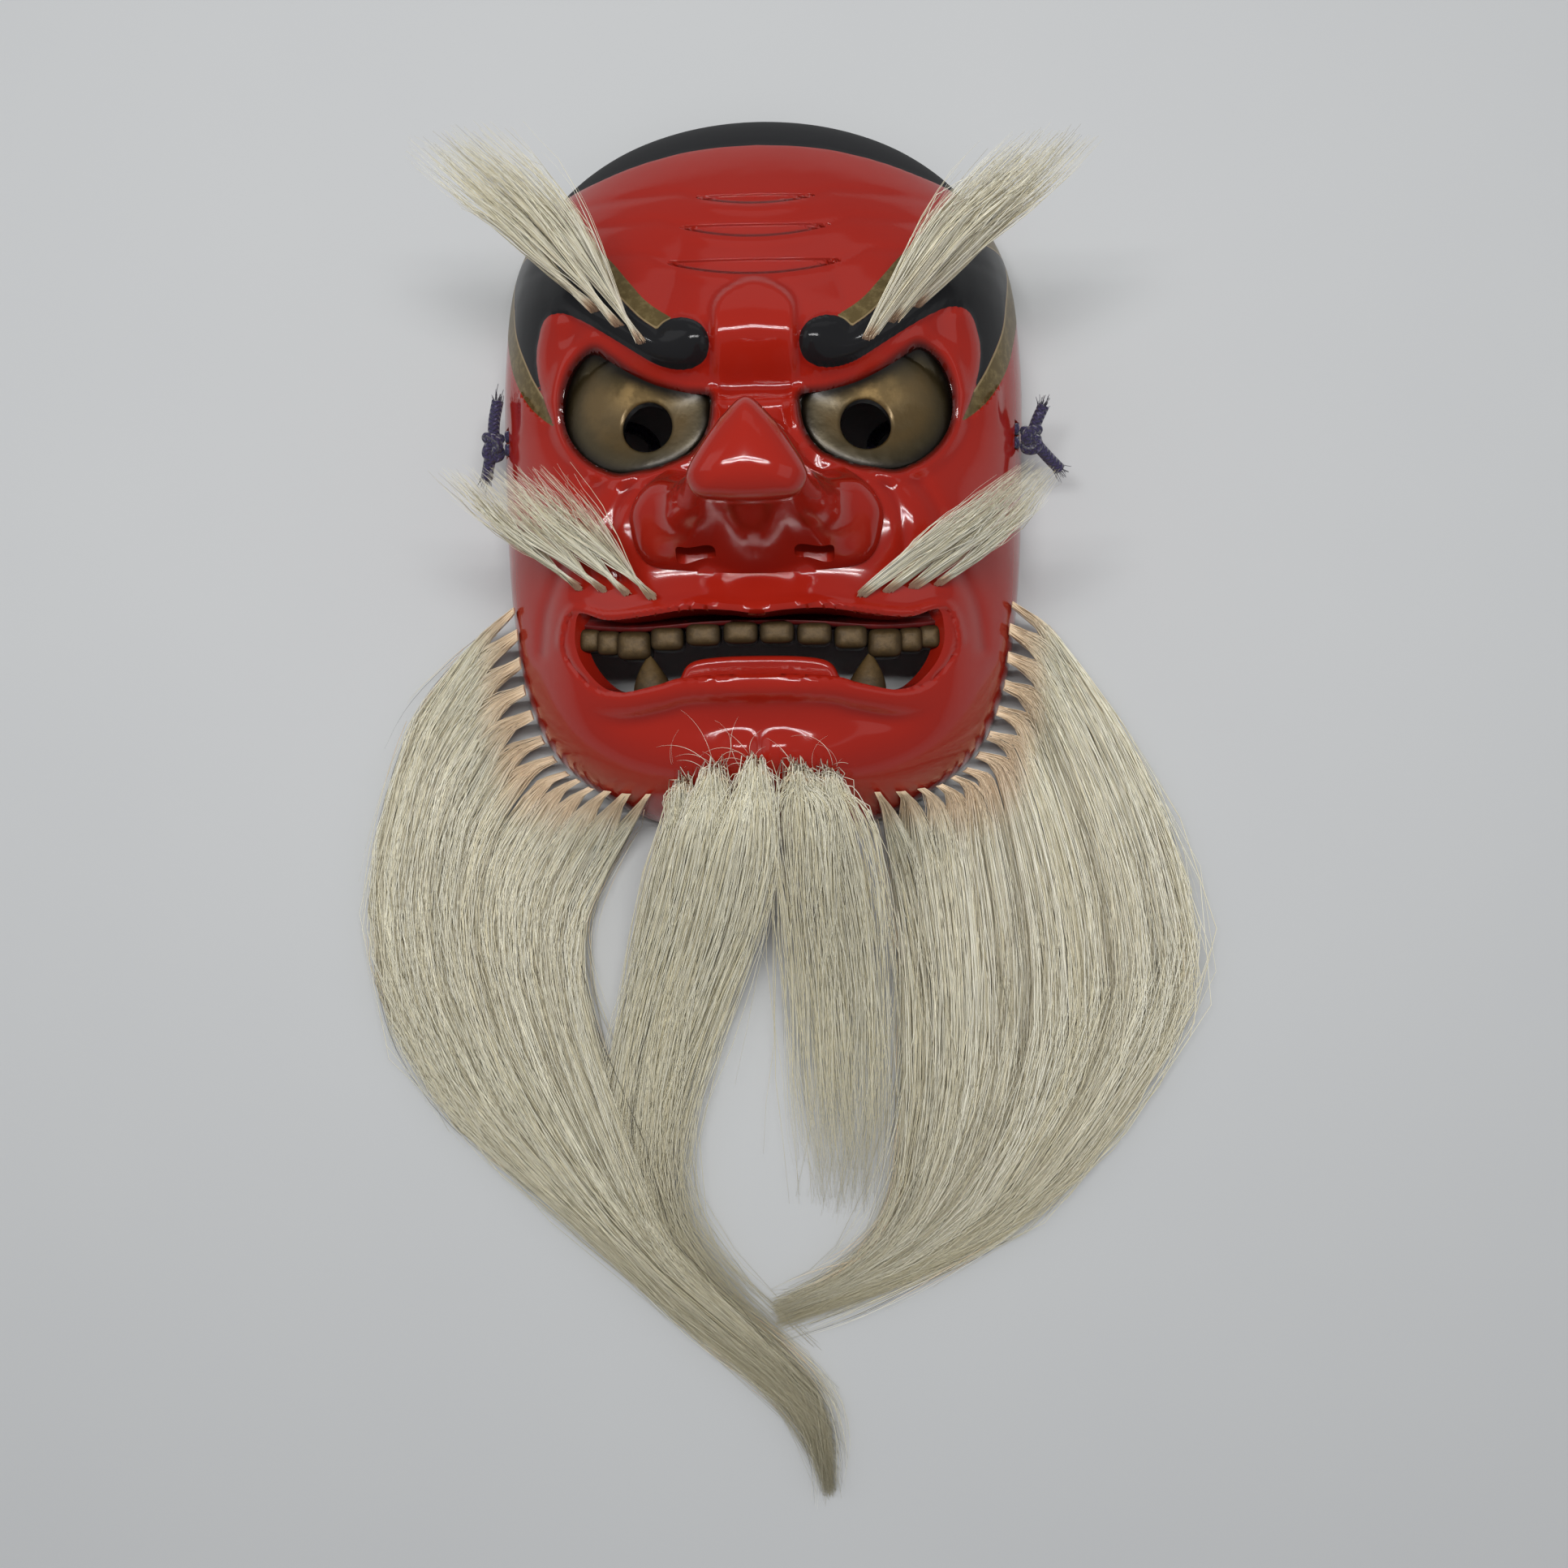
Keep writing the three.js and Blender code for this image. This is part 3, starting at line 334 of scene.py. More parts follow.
for side, sign in (("left", -1), ("right", 1)):
    flip = np.array([sign, 1, 1])
    route = smooth_line(np.array(CORD_ROUTE) * flip, 12)
    cord_mesh = make_mesh(f"cord_{side}", *tube(route, CORD_RADIUS, CORD_SIDES))
    cord = make_piece(cord_mesh, [cord_finish], [f"head_cord_{side}"])
    turn = np.linspace(0, 2 * np.pi, 121)[:, None]
    loop = np.hstack([
        -np.sin(3 * turn),
        (np.cos(turn) - 2 * np.cos(2 * turn)) / 3,
        (np.sin(turn) + 2 * np.sin(2 * turn)) / 3,
    ])
    knot_parts = [tube((KNOT_AT + loop * KNOT_REACH) * flip, KNOT_STRAND, KNOT_STRAND_SIDES)]
    for tail in CORD_TAILS[side]:
        line = smooth_line(np.array(tail) * flip, 12)
        knot_parts += [tube(line, CORD_RADIUS, CORD_SIDES), *frayed_end(line, FRAYED_FIBRES)]
    knot_mesh = make_mesh(f"knot_{side}", *joined(knot_parts))
    knot = make_piece(knot_mesh, [cord_finish], [f"cord_knot_{side}"])

# Shell: one block of light wood, carved as a hollow face with a long nose and heavy brows, primed,
# and polished in many coats of vermilion lacquer. The brows and the edge over the forehead are
# painted black, a band beside the brows is gold, and the inside is left in thin dark lacquer.
FACE_MIDDLE = 118.0
FACE_DEPTH = 78.0
WALL = 6.5
FACE_DIRECTIONS, CAP_RINGS, NOSE_RINGS, FACE_RINGS = 480, 16, 34, 96
RIM = [
    (0, 277), (30, 273.5), (57, 263), (79, 245), (95, 218), (100, 180), (100, 140), (98.9, 105),
    (96.8, 80), (93.8, 61), (88.5, 44), (80.5, 30.5), (67, 18.5), (48, 8), (26, 1.5), (0, -0.5),
]
NOSE_FOOT = [
    (0, 147.5), (9, 145), (16, 138.5), (23.5, 131.5), (32, 128), (39.5, 122.5), (43.6, 114.5),
    (43.2, 107), (40.5, 99.5), (34, 95), (16, 93.2), (0, 92.6),
]
NOSE_SHOULDER = [
    (0, 137.5), (7.5, 131.5), (13.5, 123.5), (17.8, 116), (18.3, 111.5), (14.8, 107), (7.3, 105.6),
    (0, 105.3),
]
SHOULDER_HEIGHT, CAP_HEIGHT, TIP_AT = 139.0, 13.5, 117.0
EYE = [
    (16.2, 155), (25.3, 156.6), (35.4, 159.5), (44.4, 164), (52, 169.4), (57.6, 172.4), (63.9, 169.2),
    (68, 162.2), (69.3, 154), (67.8, 146), (63.1, 138.5), (55.9, 132.3), (47.4, 129.3), (38.3, 130.2),
    (29.8, 132.1), (21.9, 135.8), (17.6, 141.8), (15.7, 149),
]
BROW_LOWER_EDGE = [
    (33.5, 176.5), (30, 179.5), (24.2, 180.3), (18.3, 177.6), (15.4, 172.1), (16.8, 166.5), (20.8, 164),
    (26, 163.5), (32, 164.8), (38.5, 168), (52.1, 177), (61, 183), (69, 187), (76, 186.3),
    (79.8, 178), (79.6, 169.3), (77.4, 160.5),
]
BROW_UPPER_EDGE = [
    (33.5, 176.5), (40, 181.5), (48, 190.5), (57.5, 201.5), (68, 211), (80, 217.5), (93.3, 220),
]
BROW_SIDE_EDGE = [(93.3, 220), (93, 209), (91.3, 198.5), (89, 185), (83, 170.5), (77.4, 160.5)]
GOLD_UPPER_EDGE = [
    (28, 180.2), (37.1, 187), (43.8, 195.2), (52.6, 206.8), (63, 217), (76, 225), (99, 232),
]
GOLD_SIDE_EDGE = [
    (99, 232), (99, 205), (94.5, 183), (90.2, 170), (83.4, 158.5), (76.5, 151.5), (72.5, 148.5),
]
BLACK_EDGE = [(0, 254.8), (20, 253.8), (33.4, 251.6), (47, 248.4), (60, 244.8), (72, 242.5), (82, 240)]
MOUTH = [
    (0, 78.8), (10.4, 79.9), (23.4, 80.4), (40.3, 78.5), (52.6, 78), (62, 80.6), (66.5, 80.8), (69, 77),
    (70.3, 70.1), (66.9, 62.6), (58.7, 55.1), (50.9, 53.1), (44.4, 53.4), (35, 55.2), (26.8, 57.3),
    (11.4, 58.2), (0, 58.3),
]
RIDGE_HEIGHT, RIDGE_ABOVE, RIDGE_BELOW = 8.5, 21.0, 12.5
WRINKLES = [(21, 229.8, 0.4, 3.6), (26.2, 217.0, 0.9, 5.0), (30.7, 202.9, 1.0, 6.0)]
NOSTRIL_AT, NOSTRIL_SIZE = (20.0, 101.0, 87.0), (13.5, 24.0, 11.0)
NOSTRIL_ROUNDING, NOSTRIL_SIDES = 0.55, 40
WING_HEIGHT = 12
SLOT_AT, SLOT_SIZE = (92.0, 150.0, 25.0), (34.0, 11.0, 6.4)
MOUTH_FLOOR = 53.0
MOUTH_NARROWS_AT, MOUTH_FLOOR_WIDTH = 68, 0.87
LIP_WOOD = 7
OVER_FACE = 140
HOLLOW_DIRECTIONS, HOLLOW_CAP_RINGS, HOLLOW_NOSE_RINGS, HOLLOW_FACE_RINGS = 160, 6, 14, 30
FOLD_REACH = 3
FACE_EDGE_ANGLE = 38
# Each broad swelling, or hollow where it is negative: its height, its middle (across, up), its reach.
SWELLINGS = {
    "between_brows": (-0.5, 0, 182, 13, 15),
    "eye_hollow": (-9, 42, 150, 30, 20),
    "nose_root": (-4, 0, 157, 16, 8),
    "cheekbone": (5.5, 64, 112, 19, 17),
    "muzzle": (0.5, 20, 84, 36, 13),
    "jaw_hollow": (-3.5, 82, 80, 11, 24),
    "lip_rise": (1.7, 0, 81, 40, 5.5),
    "under_nose": (-1.6, 0, 93.5, 34, 5.5),
    "lower_lip": (3.4, 0, 52, 34, 8),
    "chin_groove": (-2.8, 0, 42, 44, 7),
    "chin": (7.5, 0, 27, 34, 12),
    "forehead": (4, 0, 214, 48, 24),
}
RED = (0.34, 0.014, 0.006, 1)
RED_DEEP = (0.15, 0.004, 0.004, 1)
BLACK = (0.012, 0.012, 0.013, 1)
BLACK_DULL = (0.020, 0.020, 0.022, 1)
GOLD_PAINT = (0.135, 0.095, 0.035, 1)
GOLD_EDGE = (0.45, 0.33, 0.17, 1)
RUBBED_GOLD = (0.23, 0.17, 0.07, 1)
NEAR_BLACK_RED = (0.022, 0.005, 0.004, 1)
INSIDE_DARK = (0.020, 0.016, 0.013, 1)
INSIDE_BROWN = (0.050, 0.038, 0.028, 1)


def ramp(start, end, value):
    share = np.clip((value - start) / (end - start), 0, 1)
    return share * share * (3 - 2 * share)


def bell(value, width=1.0):
    return np.exp(-((value / width) ** 2))


def both_sides(half, steps=8):
    """The whole outline from its right half, whose ends lie on the middle line."""
    return smooth_line(list(half) + [(-x, y) for x, y in half[-2:0:-1]], steps, True)


def line_distance(x, y, line, closed=False):
    line = np.vstack([line, line[:1]]) if closed else np.asarray(line)
    nearest = np.full(x.shape, 1e9)
    for a, b in zip(line, line[1:]):
        way = b - a
        share = np.clip(((x - a[0]) * way[0] + (y - a[1]) * way[1]) / max(way @ way, 1e-12), 0, 1)
        np.minimum(nearest, (x - a[0] - share * way[0])**2 + (y - a[1] - share * way[1])**2, out=nearest)
    return np.sqrt(nearest)


def outline_distance(x, y, outline):
    """Distance from an outline, negative inside it."""
    inside = np.zeros(x.shape, bool)
    for a, b in zip(outline, np.roll(outline, -1, axis=0)):
        crosses = (a[1] > y) != (b[1] > y)
        inside ^= crosses & (x < (b[0] - a[0]) * (y - a[1]) / (b[1] - a[1] + 1e-12) + a[0])
    return np.where(inside, -1, 1) * line_distance(x, y, outline, True)


def reach_table(outline):
    """How far an outline is from the middle of the face, as a function of direction."""
    angles = np.arctan2(outline[:, 1] - FACE_MIDDLE, outline[:, 0])
    reach = np.hypot(outline[:, 0], outline[:, 1] - FACE_MIDDLE)
    order = np.argsort(angles)
    return lambda angle: np.interp(angle, angles[order], reach[order], period=2 * np.pi)


rim_reach = reach_table(both_sides(RIM, 16))
foot_reach = reach_table(both_sides(NOSE_FOOT, 16))
shoulder_reach = reach_table(both_sides(NOSE_SHOULDER, 16))
eye_outline = smooth_line(EYE, 8, True)
mouth_outline = both_sides(MOUTH)
brow_lower = smooth_line(BROW_LOWER_EDGE, 8)
brow_upper = smooth_line(BROW_UPPER_EDGE, 6)
brow_side = smooth_line(BROW_SIDE_EDGE, 6)
brow_outline = np.vstack([brow_lower[:-1], brow_side[::-1][:-1], brow_upper[::-1][:-1]])
gold_upper, gold_side = smooth_line(GOLD_UPPER_EDGE, 6), smooth_line(GOLD_SIDE_EDGE, 6)
gold_outline = np.vstack([
    [GOLD_UPPER_EDGE[0]], brow_upper[:-1], brow_side[:-1], [(77.4, 160.5), (75.5, 155)],
    gold_side[::-1][:-1], gold_upper[::-1][:-1],
])
black_line = smooth_line(BLACK_EDGE, 6)
ridge_line = smooth_line([(0, 178), (14, 176), (24, 173.5), (36, 174), (50, 184), (66, 193), (84, 196)], 6)
nose_fold = smooth_line([(34, 131), (44, 124), (49.5, 113), (50.5, 102), (48, 93)], 6)
cheek_fold = smooth_line([(47, 131), (57, 124), (64, 112), (70, 98), (78, 84), (81, 70)], 6)


def dome_height(x, y, depth=FACE_DEPTH, inwards=0.0):
    angle = np.arctan2(y - FACE_MIDDLE, x)
    share = np.clip(np.hypot(x, y - FACE_MIDDLE) / (rim_reach(angle) - inwards), 0, 1)
    upward = np.sin(angle)
    power = 2.55 + np.where(upward > 0, -0.5, 0.25) * upward**2
    return depth * np.sqrt(np.clip(1 - share**power, 0, 1)), share


def broad_relief(x, y):
    """The brows' ridge, and the swellings and hollows of the face that are broader than a finger."""
    across = np.abs(x)
    over_ridge = y > np.interp(across, [0, 24, 45, 66, 90], [176, 173, 180, 192, 198])
    spread = np.where(over_ridge, RIDGE_ABOVE, RIDGE_BELOW)
    ridge = RIDGE_HEIGHT * bell(line_distance(across, y, ridge_line), spread)
    height = ridge * (0.35 + 0.65 * ramp(100, 70, across))
    for rise, at_x, at_y, wide, long in SWELLINGS.values():
        height += rise * bell(across - at_x, wide) * bell(y - at_y, long)
    return height


def pillow(distance, width):
    return np.sqrt(np.clip(1 - (1 - np.clip(distance / width, 0, 1))**2, 0, 1))


def wrinkle_distance(across, y, half, middle, top_sag, low_sag):
    """Distance outside a wrinkle, a thin leaf between two sagging lines that meet at its ends."""
    open_share = np.clip(1 - (across / half)**2, 0, 1)
    top, low = middle - top_sag * open_share, middle - low_sag * open_share
    return np.abs(y - (top + low) / 2) - (top - low) / 2 + np.maximum(across - half, 0)


def paint_marks(x, y):
    """Distances from the edges of the painted and carved areas, negative inside them."""
    across = np.abs(x)
    return {
        "brow": outline_distance(across, y, brow_outline),
        "gold": outline_distance(across, y, gold_outline),
        "eye": outline_distance(across, y, eye_outline),
        "mouth": outline_distance(across, y, mouth_outline),
        "black": np.where(across < 84, np.interp(across, black_line[:, 0], black_line[:, 1]) - y, 5),
        "wrinkle": np.min([wrinkle_distance(across, y, *shape) for shape in WRINKLES], 0),
    }


def fine_relief(x, y, marks):
    """Edges, folds, lids and lips that the carver cuts last."""
    across = np.abs(x)
    height = np.zeros_like(x)
    brow, eye, mouth = marks["brow"], marks["eye"], marks["mouth"]
    lower = line_distance(across, y, brow_lower)
    upper_fade = ramp(0, 16, line_distance(across, y, brow_upper))
    brow_swell = 3.4 * pillow(np.where(brow < 0, lower, 0), 6.5) * ramp(76, 60, across)
    height += ramp(-0.2, 0.9, -brow) * brow_swell * (0.4 + 0.6 * upper_fade)
    temple = pillow(np.where(brow > 0, lower, 0), 5.0) * ramp(62, 72, across) * ramp(90, 86, across)
    height += 2.4 * temple * ramp(146, 160, y) * (marks["gold"] > 0) * (y < 190)
    arch_over_nose = np.where(y > 181, np.hypot(across / 14.5, (y - 181) / 13), across / 14.5)
    height += 2.4 * ramp(1.06, 0.84, arch_over_nose) * ramp(156, 166, y)
    fold_at_nose_root = bell(y - 151.5, 5) * ramp(18.5, 14.5, across)
    height += 4.5 * fold_at_nose_root
    for half, middle, _, low_sag in WRINKLES:
        share = np.clip(across / half, 0, 1.3)
        low = middle - low_sag * (1 - share * share)
        inside = np.clip(1 - share, 0, 1)
        height += 0.5 * bell(y - low + 2.6, 2.2) * ramp(0, 0.3, inside) - 0.35 * bell(y - low, 2)
    lower_lid = bell(eye - 2.6, 2.6) * ramp(160, 150, y)
    upper_lid = bell(eye - 3.5, 3) * ramp(150, 160, y) * ramp(40, 62, across)
    height += 2.2 * lower_lid + 1.6 * upper_lid
    height -= 1.3 * (1 - pillow(np.abs(eye), 1.5))
    at_upper_lip = ramp(68, 72, y)
    at_lower_lip = (1 - at_upper_lip) * ramp(66, 40, across)
    height += 1.4 * bell(mouth - 1.4, 1.8) * at_upper_lip
    lip_roll = np.sqrt(np.clip(1 - ((mouth - 2.6) / 3.2)**2, 0, 1))
    lip_fold = 1.7 * bell(mouth - 6.6, 1.7) - 1.4 * bell(mouth - 10, 4)
    height += (2.2 * lip_roll + lip_fold) * at_lower_lip
    height -= 1.6 * (1 - pillow(np.abs(mouth), 1.7))
    height -= 1.2 * bell(line_distance(across, y, nose_fold), 2)
    height -= 1.5 * bell(line_distance(across, y, cheek_fold), 3.2)
    chin_cleft = 1.6 * bell(across, 2.6) * bell(y - 33, 4.5)
    chin_bosses = bell(across - 8, 5) * bell(y - 33, 6)
    height += chin_bosses - chin_cleft
    return height - 0.5 * ramp(-0.2, 0.8, -marks["black"])


def face_height(x, y):
    height, share = dome_height(x, y)
    edge = ramp(1.0, 0.9, share)
    return height + (broad_relief(x, y) + fine_relief(x, y, paint_marks(x, y))) * edge


def inner_height(x, y):
    height, share = dome_height(x, y, FACE_DEPTH - WALL, WALL)
    over_nose = 5 * bell(x, 20) * bell(y - 161, 20)
    return height + broad_relief(x, y) * ramp(1.0, 0.85, share) - over_nose - 1.5 * ramp(1.0, 0.9, share)


def evenly(points, count):
    """Points at equal distances along each column's line, without its first."""
    steps = np.linalg.norm(np.diff(points, axis=0), axis=2)
    reach = np.vstack([np.zeros((1, points.shape[1])), np.cumsum(steps, 0)])
    even = np.zeros((count, points.shape[1], 3))
    for column in range(points.shape[1]):
        at = np.linspace(0, reach[-1, column], count + 1)[1:]
        for axis in range(3):
            even[:, column, axis] = np.interp(at, reach[:, column], points[:, column, axis])
    return even


def face_surface(directions, cap_rings, nose_rings, face_rings, height_at, wall=0.0):
    """Rings of points from the tip of the nose out to the rim."""
    angle = np.mod(np.linspace(0, 2 * np.pi, directions, endpoint=False) + 1.5 * np.pi, 2 * np.pi) - np.pi
    sideways, upward = np.cos(angle), np.sin(angle)
    foot, rim = foot_reach(angle) - 0.9 * wall, rim_reach(angle) - wall
    shoulder = shoulder_reach(angle) - 0.8 * wall
    shoulder_height, cap_height = SHOULDER_HEIGHT - wall, CAP_HEIGHT

    def surface(reach):
        x, y = reach * sideways, FACE_MIDDLE + reach * upward
        return np.stack([x, y, height_at(x, y)], -1)

    rings = []
    for turn in np.linspace(0, np.pi / 2, cap_rings + 1)[1:]:
        share = np.sin(turn)**0.85
        x = shoulder * sideways * share
        y = TIP_AT + (FACE_MIDDLE + shoulder * upward - TIP_AT) * share
        rings.append(np.stack([x, y, np.full_like(x, shoulder_height + cap_height * np.cos(turn)**0.9)], -1))
    out = np.linspace(0, 1, 161)[:, None]
    nose = surface(shoulder + (foot - shoulder) * out)
    flare = np.where(upward > 0, 1.25 + 3 * np.abs(sideways)**1.5, 1.15 + 3.2 * np.abs(sideways)**2.2)
    wing = WING_HEIGHT * ramp(-0.8, -0.62, upward) * ramp(0.42, 0.1, upward)
    wing = wing * ramp(0.2, 0.6, np.abs(sideways))
    swell = np.sqrt(np.clip(1 - (np.clip(out - 0.45, 0, 1) / 0.55)**2, 0, 1)) * ramp(0, 0.35, out)
    nose[:, :, 2] += (shoulder_height - nose[:, :, 2]) * (1 - out)**flare + wing * swell
    steps = np.linspace(0, 1, 6 * face_rings + 1)[:, None]
    share = 0.55 * np.sin(steps * np.pi / 2) + 0.45 * steps
    reach = foot + (rim - foot) * share
    x, y = reach * sideways, FACE_MIDDLE + reach * upward
    plain = np.stack([x, y, dome_height(x, y)[0]], -1)
    face = evenly(plain, face_rings)
    face = surface(np.hypot(face[:, :, 0], face[:, :, 1] - FACE_MIDDLE))
    tip = np.array([[0, TIP_AT, shoulder_height + cap_height]])
    return tip, np.concatenate([np.array(rings), evenly(nose, nose_rings), face])


def ring_body(start, rings, end):
    """A closed body from a start point, rings that run counter-clockwise round it, and an end point."""
    count, sides = rings.shape[:2]
    quads = 1 + ring_quads(count, sides)[:, [0, 3, 2, 1]]
    side = np.arange(sides)
    after = (side + 1) % sides
    last = 1 + (count - 1) * sides
    top = np.stack([np.zeros_like(side), 1 + side, 1 + after], -1)
    low = np.stack([np.full_like(side, last + sides), last + after, last + side], -1)
    return np.vstack([start, rings.reshape(-1, 3), end]), [quads, top, low]


def counter_clockwise(outline):
    return outline if np.sum(np.cross(outline, np.roll(outline, -1, axis=0))) >= 0 else outline[::-1]


def prism(outline, layers):
    """An upright body over an outline, from (share of its width, height) layers, top first."""
    middle = outline.mean(0)
    outline = counter_clockwise(outline)
    rings = []
    for share, height in layers:
        flat = middle + (outline - middle) * np.reshape(share, (1, -1))
        rings.append(np.column_stack([flat, np.full(len(flat), height)]))
    ends = [[[*middle, layers[0][1]]], [[*middle, layers[-1][1]]]]
    return ring_body(ends[0], np.array(rings), ends[1])


def block(at, size):
    x, y, z = [np.array([-0.5, 0.5]) * s + a for a, s in zip(at, size)]
    outline = np.array([(x[0], y[0]), (x[1], y[0]), (x[1], y[1]), (x[0], y[1])])
    return prism(outline, [(1, z[1]), (1, z[0])])


def rounded_oblong(width, height, power, sides):
    """The outline of a rounded rectangle: the lower the power, the squarer its corners."""
    turn = np.linspace(0, 2 * np.pi, sides, endpoint=False)
    halves = [(np.cos(turn), width), (np.sin(turn), height)]
    return np.column_stack([np.sign(way) * np.abs(way)**power * size / 2 for way, size in halves])


def rounded_block(at, size):
    """A block along Y whose section is a rounded rectangle."""
    flat = rounded_oblong(size[0], size[2], NOSTRIL_ROUNDING, NOSTRIL_SIDES)
    rings, ends = [], []
    for y in (at[1] + 0.5 * size[1], at[1] - 0.5 * size[1]):
        rings.append(np.column_stack([at[0] + flat[:, 0], np.full(len(flat), y), at[2] + flat[:, 1]]))
        ends.append([[at[0], y, at[2]]])
    vertices, faces = ring_body(ends[0], np.array(rings), ends[1])
    return vertices, [rows[:, ::-1] for rows in faces]


def joined_bodies(bodies):
    return joined([(*body, {}) for body in bodies])[:2]


def body_object(name, body, finish):
    mesh = make_mesh(name, *body)
    mesh.materials.append(finish.material)
    one = bpy.data.objects.new(name, mesh)
    scene.collection.objects.link(one)
    return one


def carved(base, tool):
    """The base object with the tool object cut from it, as one new mesh in its place."""
    step = base.modifiers.new("cut", "BOOLEAN")
    step.operation = "DIFFERENCE"
    step.solver = "MANIFOLD"
    step.object = tool
    result = bpy.data.meshes.new_from_object(base.evaluated_get(bpy.context.evaluated_depsgraph_get()))
    base.modifiers.clear()
    base.data = result
    bpy.data.objects.remove(tool)
    return base


def widened(outline, distance):
    tangent = unit(np.roll(outline, -1, axis=0) - np.roll(outline, 1, axis=0))
    return outline + distance * np.column_stack([tangent[:, 1], -tangent[:, 0]])


def dark_lacquer_finish():
    finish = Finish("dark_inside_lacquer", roughness=0.45)
    wood = finish.noise(90, 4, 0.6, finish.node("ShaderNodeMapping", {}, {
        "Vector": finish.spot(), "Scale": (6.0, 0.6, 6.0),
    }))
    finish.link(
        base_color=finish.blend(wood, INSIDE_DARK, INSIDE_BROWN),
        normal=finish.bump(wood, 0.0006, 0.5),
    )
    return finish


def red_lacquer_finish(name, painted):
    finish = Finish(name, roughness=0.1, specular_ior_level=0.4)
    cloud = finish.noise(14, 3)
    fold = finish.mark("fold")
    # Creases, where the fold mark shows the carving round a point standing higher, are painted deeper red as
    # painted shade; the cloud adds a random tone.
    crease_shade_and_cloud = finish.ramp(fold, -0.2, 1.6) * 0.55 + finish.ramp(cloud, 0.35, 0.75) * 0.12
    color = finish.blend(crease_shade_and_cloud, RED, RED_DEEP)
    relief = (finish.noise(55, 2) + finish.noise(1400, 1) * 0.02) * 0.17
    if painted:
        relief = relief - finish.ramp(finish.mark("wrinkle"), 0.8, -0.5) * 1.6
        brow, gold, black = finish.mark("brow"), finish.mark("gold"), finish.mark("black")
        ragged = (finish.noise(900, 2) - 0.5) * 0.25
        in_gold = finish.ramp(gold + ragged, 0.12, -0.12)
        in_brow = finish.ramp(brow, 0.1, -0.1)
        in_black = finish.ramp(black, 0.1, -0.1)
        gold_line = finish.ramp(finish.maths("ABSOLUTE", brow - 0.35), 0.45, 0.15) * in_gold
        worn = finish.ramp(finish.noise(330, 4, 0.65), 0.42, 0.7)
        gold_color = finish.blend(gold_line * 0.7, finish.blend(worn, GOLD_PAINT, RUBBED_GOLD), GOLD_EDGE)
        # A near-black ring painted on the lacquer round each eye opening is painted shade at the edge of the
        # recess.
        color = finish.blend(finish.ramp(finish.mark("eye"), 3.4, 0.1, 0, 0.85), color, NEAR_BLACK_RED)
        color = finish.blend(in_gold, color, gold_color)
        color = finish.blend(in_brow, color, BLACK)
        color = finish.blend(in_black, color, BLACK_DULL)
        rough = 0.11 + in_gold * 0.24 + in_black * 0.3
        finish.link(roughness=rough, metallic=in_gold * (1 - in_brow) * 0.55)
        finish.dull(in_brow * 0.45 + in_black * (1 - in_brow) * 0.65, BLACK)
    finish.link(base_color=color, normal=finish.bump(relief, 0.001))
    return finish


def bored_finish():
    """The nostrils' walls, left rough from the gouge under one thin coat."""
    finish = Finish("bored_wood", roughness=0.65, specular_ior_level=0.15)
    finish.link(base_color=finish.blend(finish.noise(300, 3), RED_DEEP, NEAR_BLACK_RED))
    return finish


inside_finish = dark_lacquer_finish()
face_finish = red_lacquer_finish("vermilion_lacquer", True)
edge_finish = red_lacquer_finish("vermilion_edge", False)
nostril_finish = bored_finish()

tip, rings = face_surface(FACE_DIRECTIONS, CAP_RINGS, NOSE_RINGS, FACE_RINGS, face_height)
shell = body_object("mask_face", ring_body(tip, rings, [[0, FACE_MIDDLE, 0]]), face_finish)
tip, rings = face_surface(
    HOLLOW_DIRECTIONS, HOLLOW_CAP_RINGS, HOLLOW_NOSE_RINGS, HOLLOW_FACE_RINGS, inner_height, WALL
)
below = rings[-1:] * [1, 1, 0] - [0, 0, WALL]
hollow_body = ring_body(tip, np.concatenate([rings, below]), [[0, FACE_MIDDLE, -WALL]])
hollow = body_object("hollow", hollow_body, inside_finish)
lip_wood = prism(widened(mouth_outline, -LIP_WOOD), [(1, OVER_FACE), (1, MOUTH_FLOOR)])
hollow = carved(hollow, body_object("lip_wood", lip_wood, inside_finish))
shell = carved(shell, hollow)
tools = [
    prism(mouth_outline, [
        (1, OVER_FACE), (1, MOUTH_NARROWS_AT), ((MOUTH_FLOOR_WIDTH, 1), MOUTH_FLOOR - 1),
    ]),
    prism(eye_outline, [(1, OVER_FACE), (1, MOUTH_FLOOR)]),
    prism(eye_outline * [-1, 1], [(1, OVER_FACE), (1, MOUTH_FLOOR)]),
]
nostrils = []
for sign in (-1, 1):
    flip = np.array([sign, 1, 1])
    nostrils.append(rounded_block(np.array(NOSTRIL_AT) * flip, NOSTRIL_SIZE))
    tools.append(block(np.array(SLOT_AT) * flip, SLOT_SIZE))
shell = carved(shell, body_object("tools", joined_bodies(tools), edge_finish))
shell = carved(shell, body_object("nostrils", joined_bodies(nostrils), nostril_finish))
mesh = shell.data
corners = np.empty(3 * len(mesh.vertices), np.float32)
mesh.vertices.foreach_get("co", corners)
corners = corners.reshape(-1, 3) * 1000 - CARVER_ORIGIN
across, up = corners[:, 0], corners[:, 1]
marks = paint_marks(across, up)
around = [
    face_height(across + FOLD_REACH * math.cos(way), up + FOLD_REACH * math.sin(way))
    for way in np.arange(6) * np.pi / 3
]
marks["fold"] = np.mean(around, 0) - face_height(across, up)
add_marks(mesh, {key: marks[key] for key in ("brow", "gold", "black", "eye", "wrinkle", "fold")})
mesh.name = "mask_face"
mesh.set_sharp_from_angle(angle=math.radians(FACE_EDGE_ANGLE))
bpy.data.objects.remove(shell)
make_piece(mesh, [face_finish, inside_finish, edge_finish, nostril_finish], ["mask_shell"])
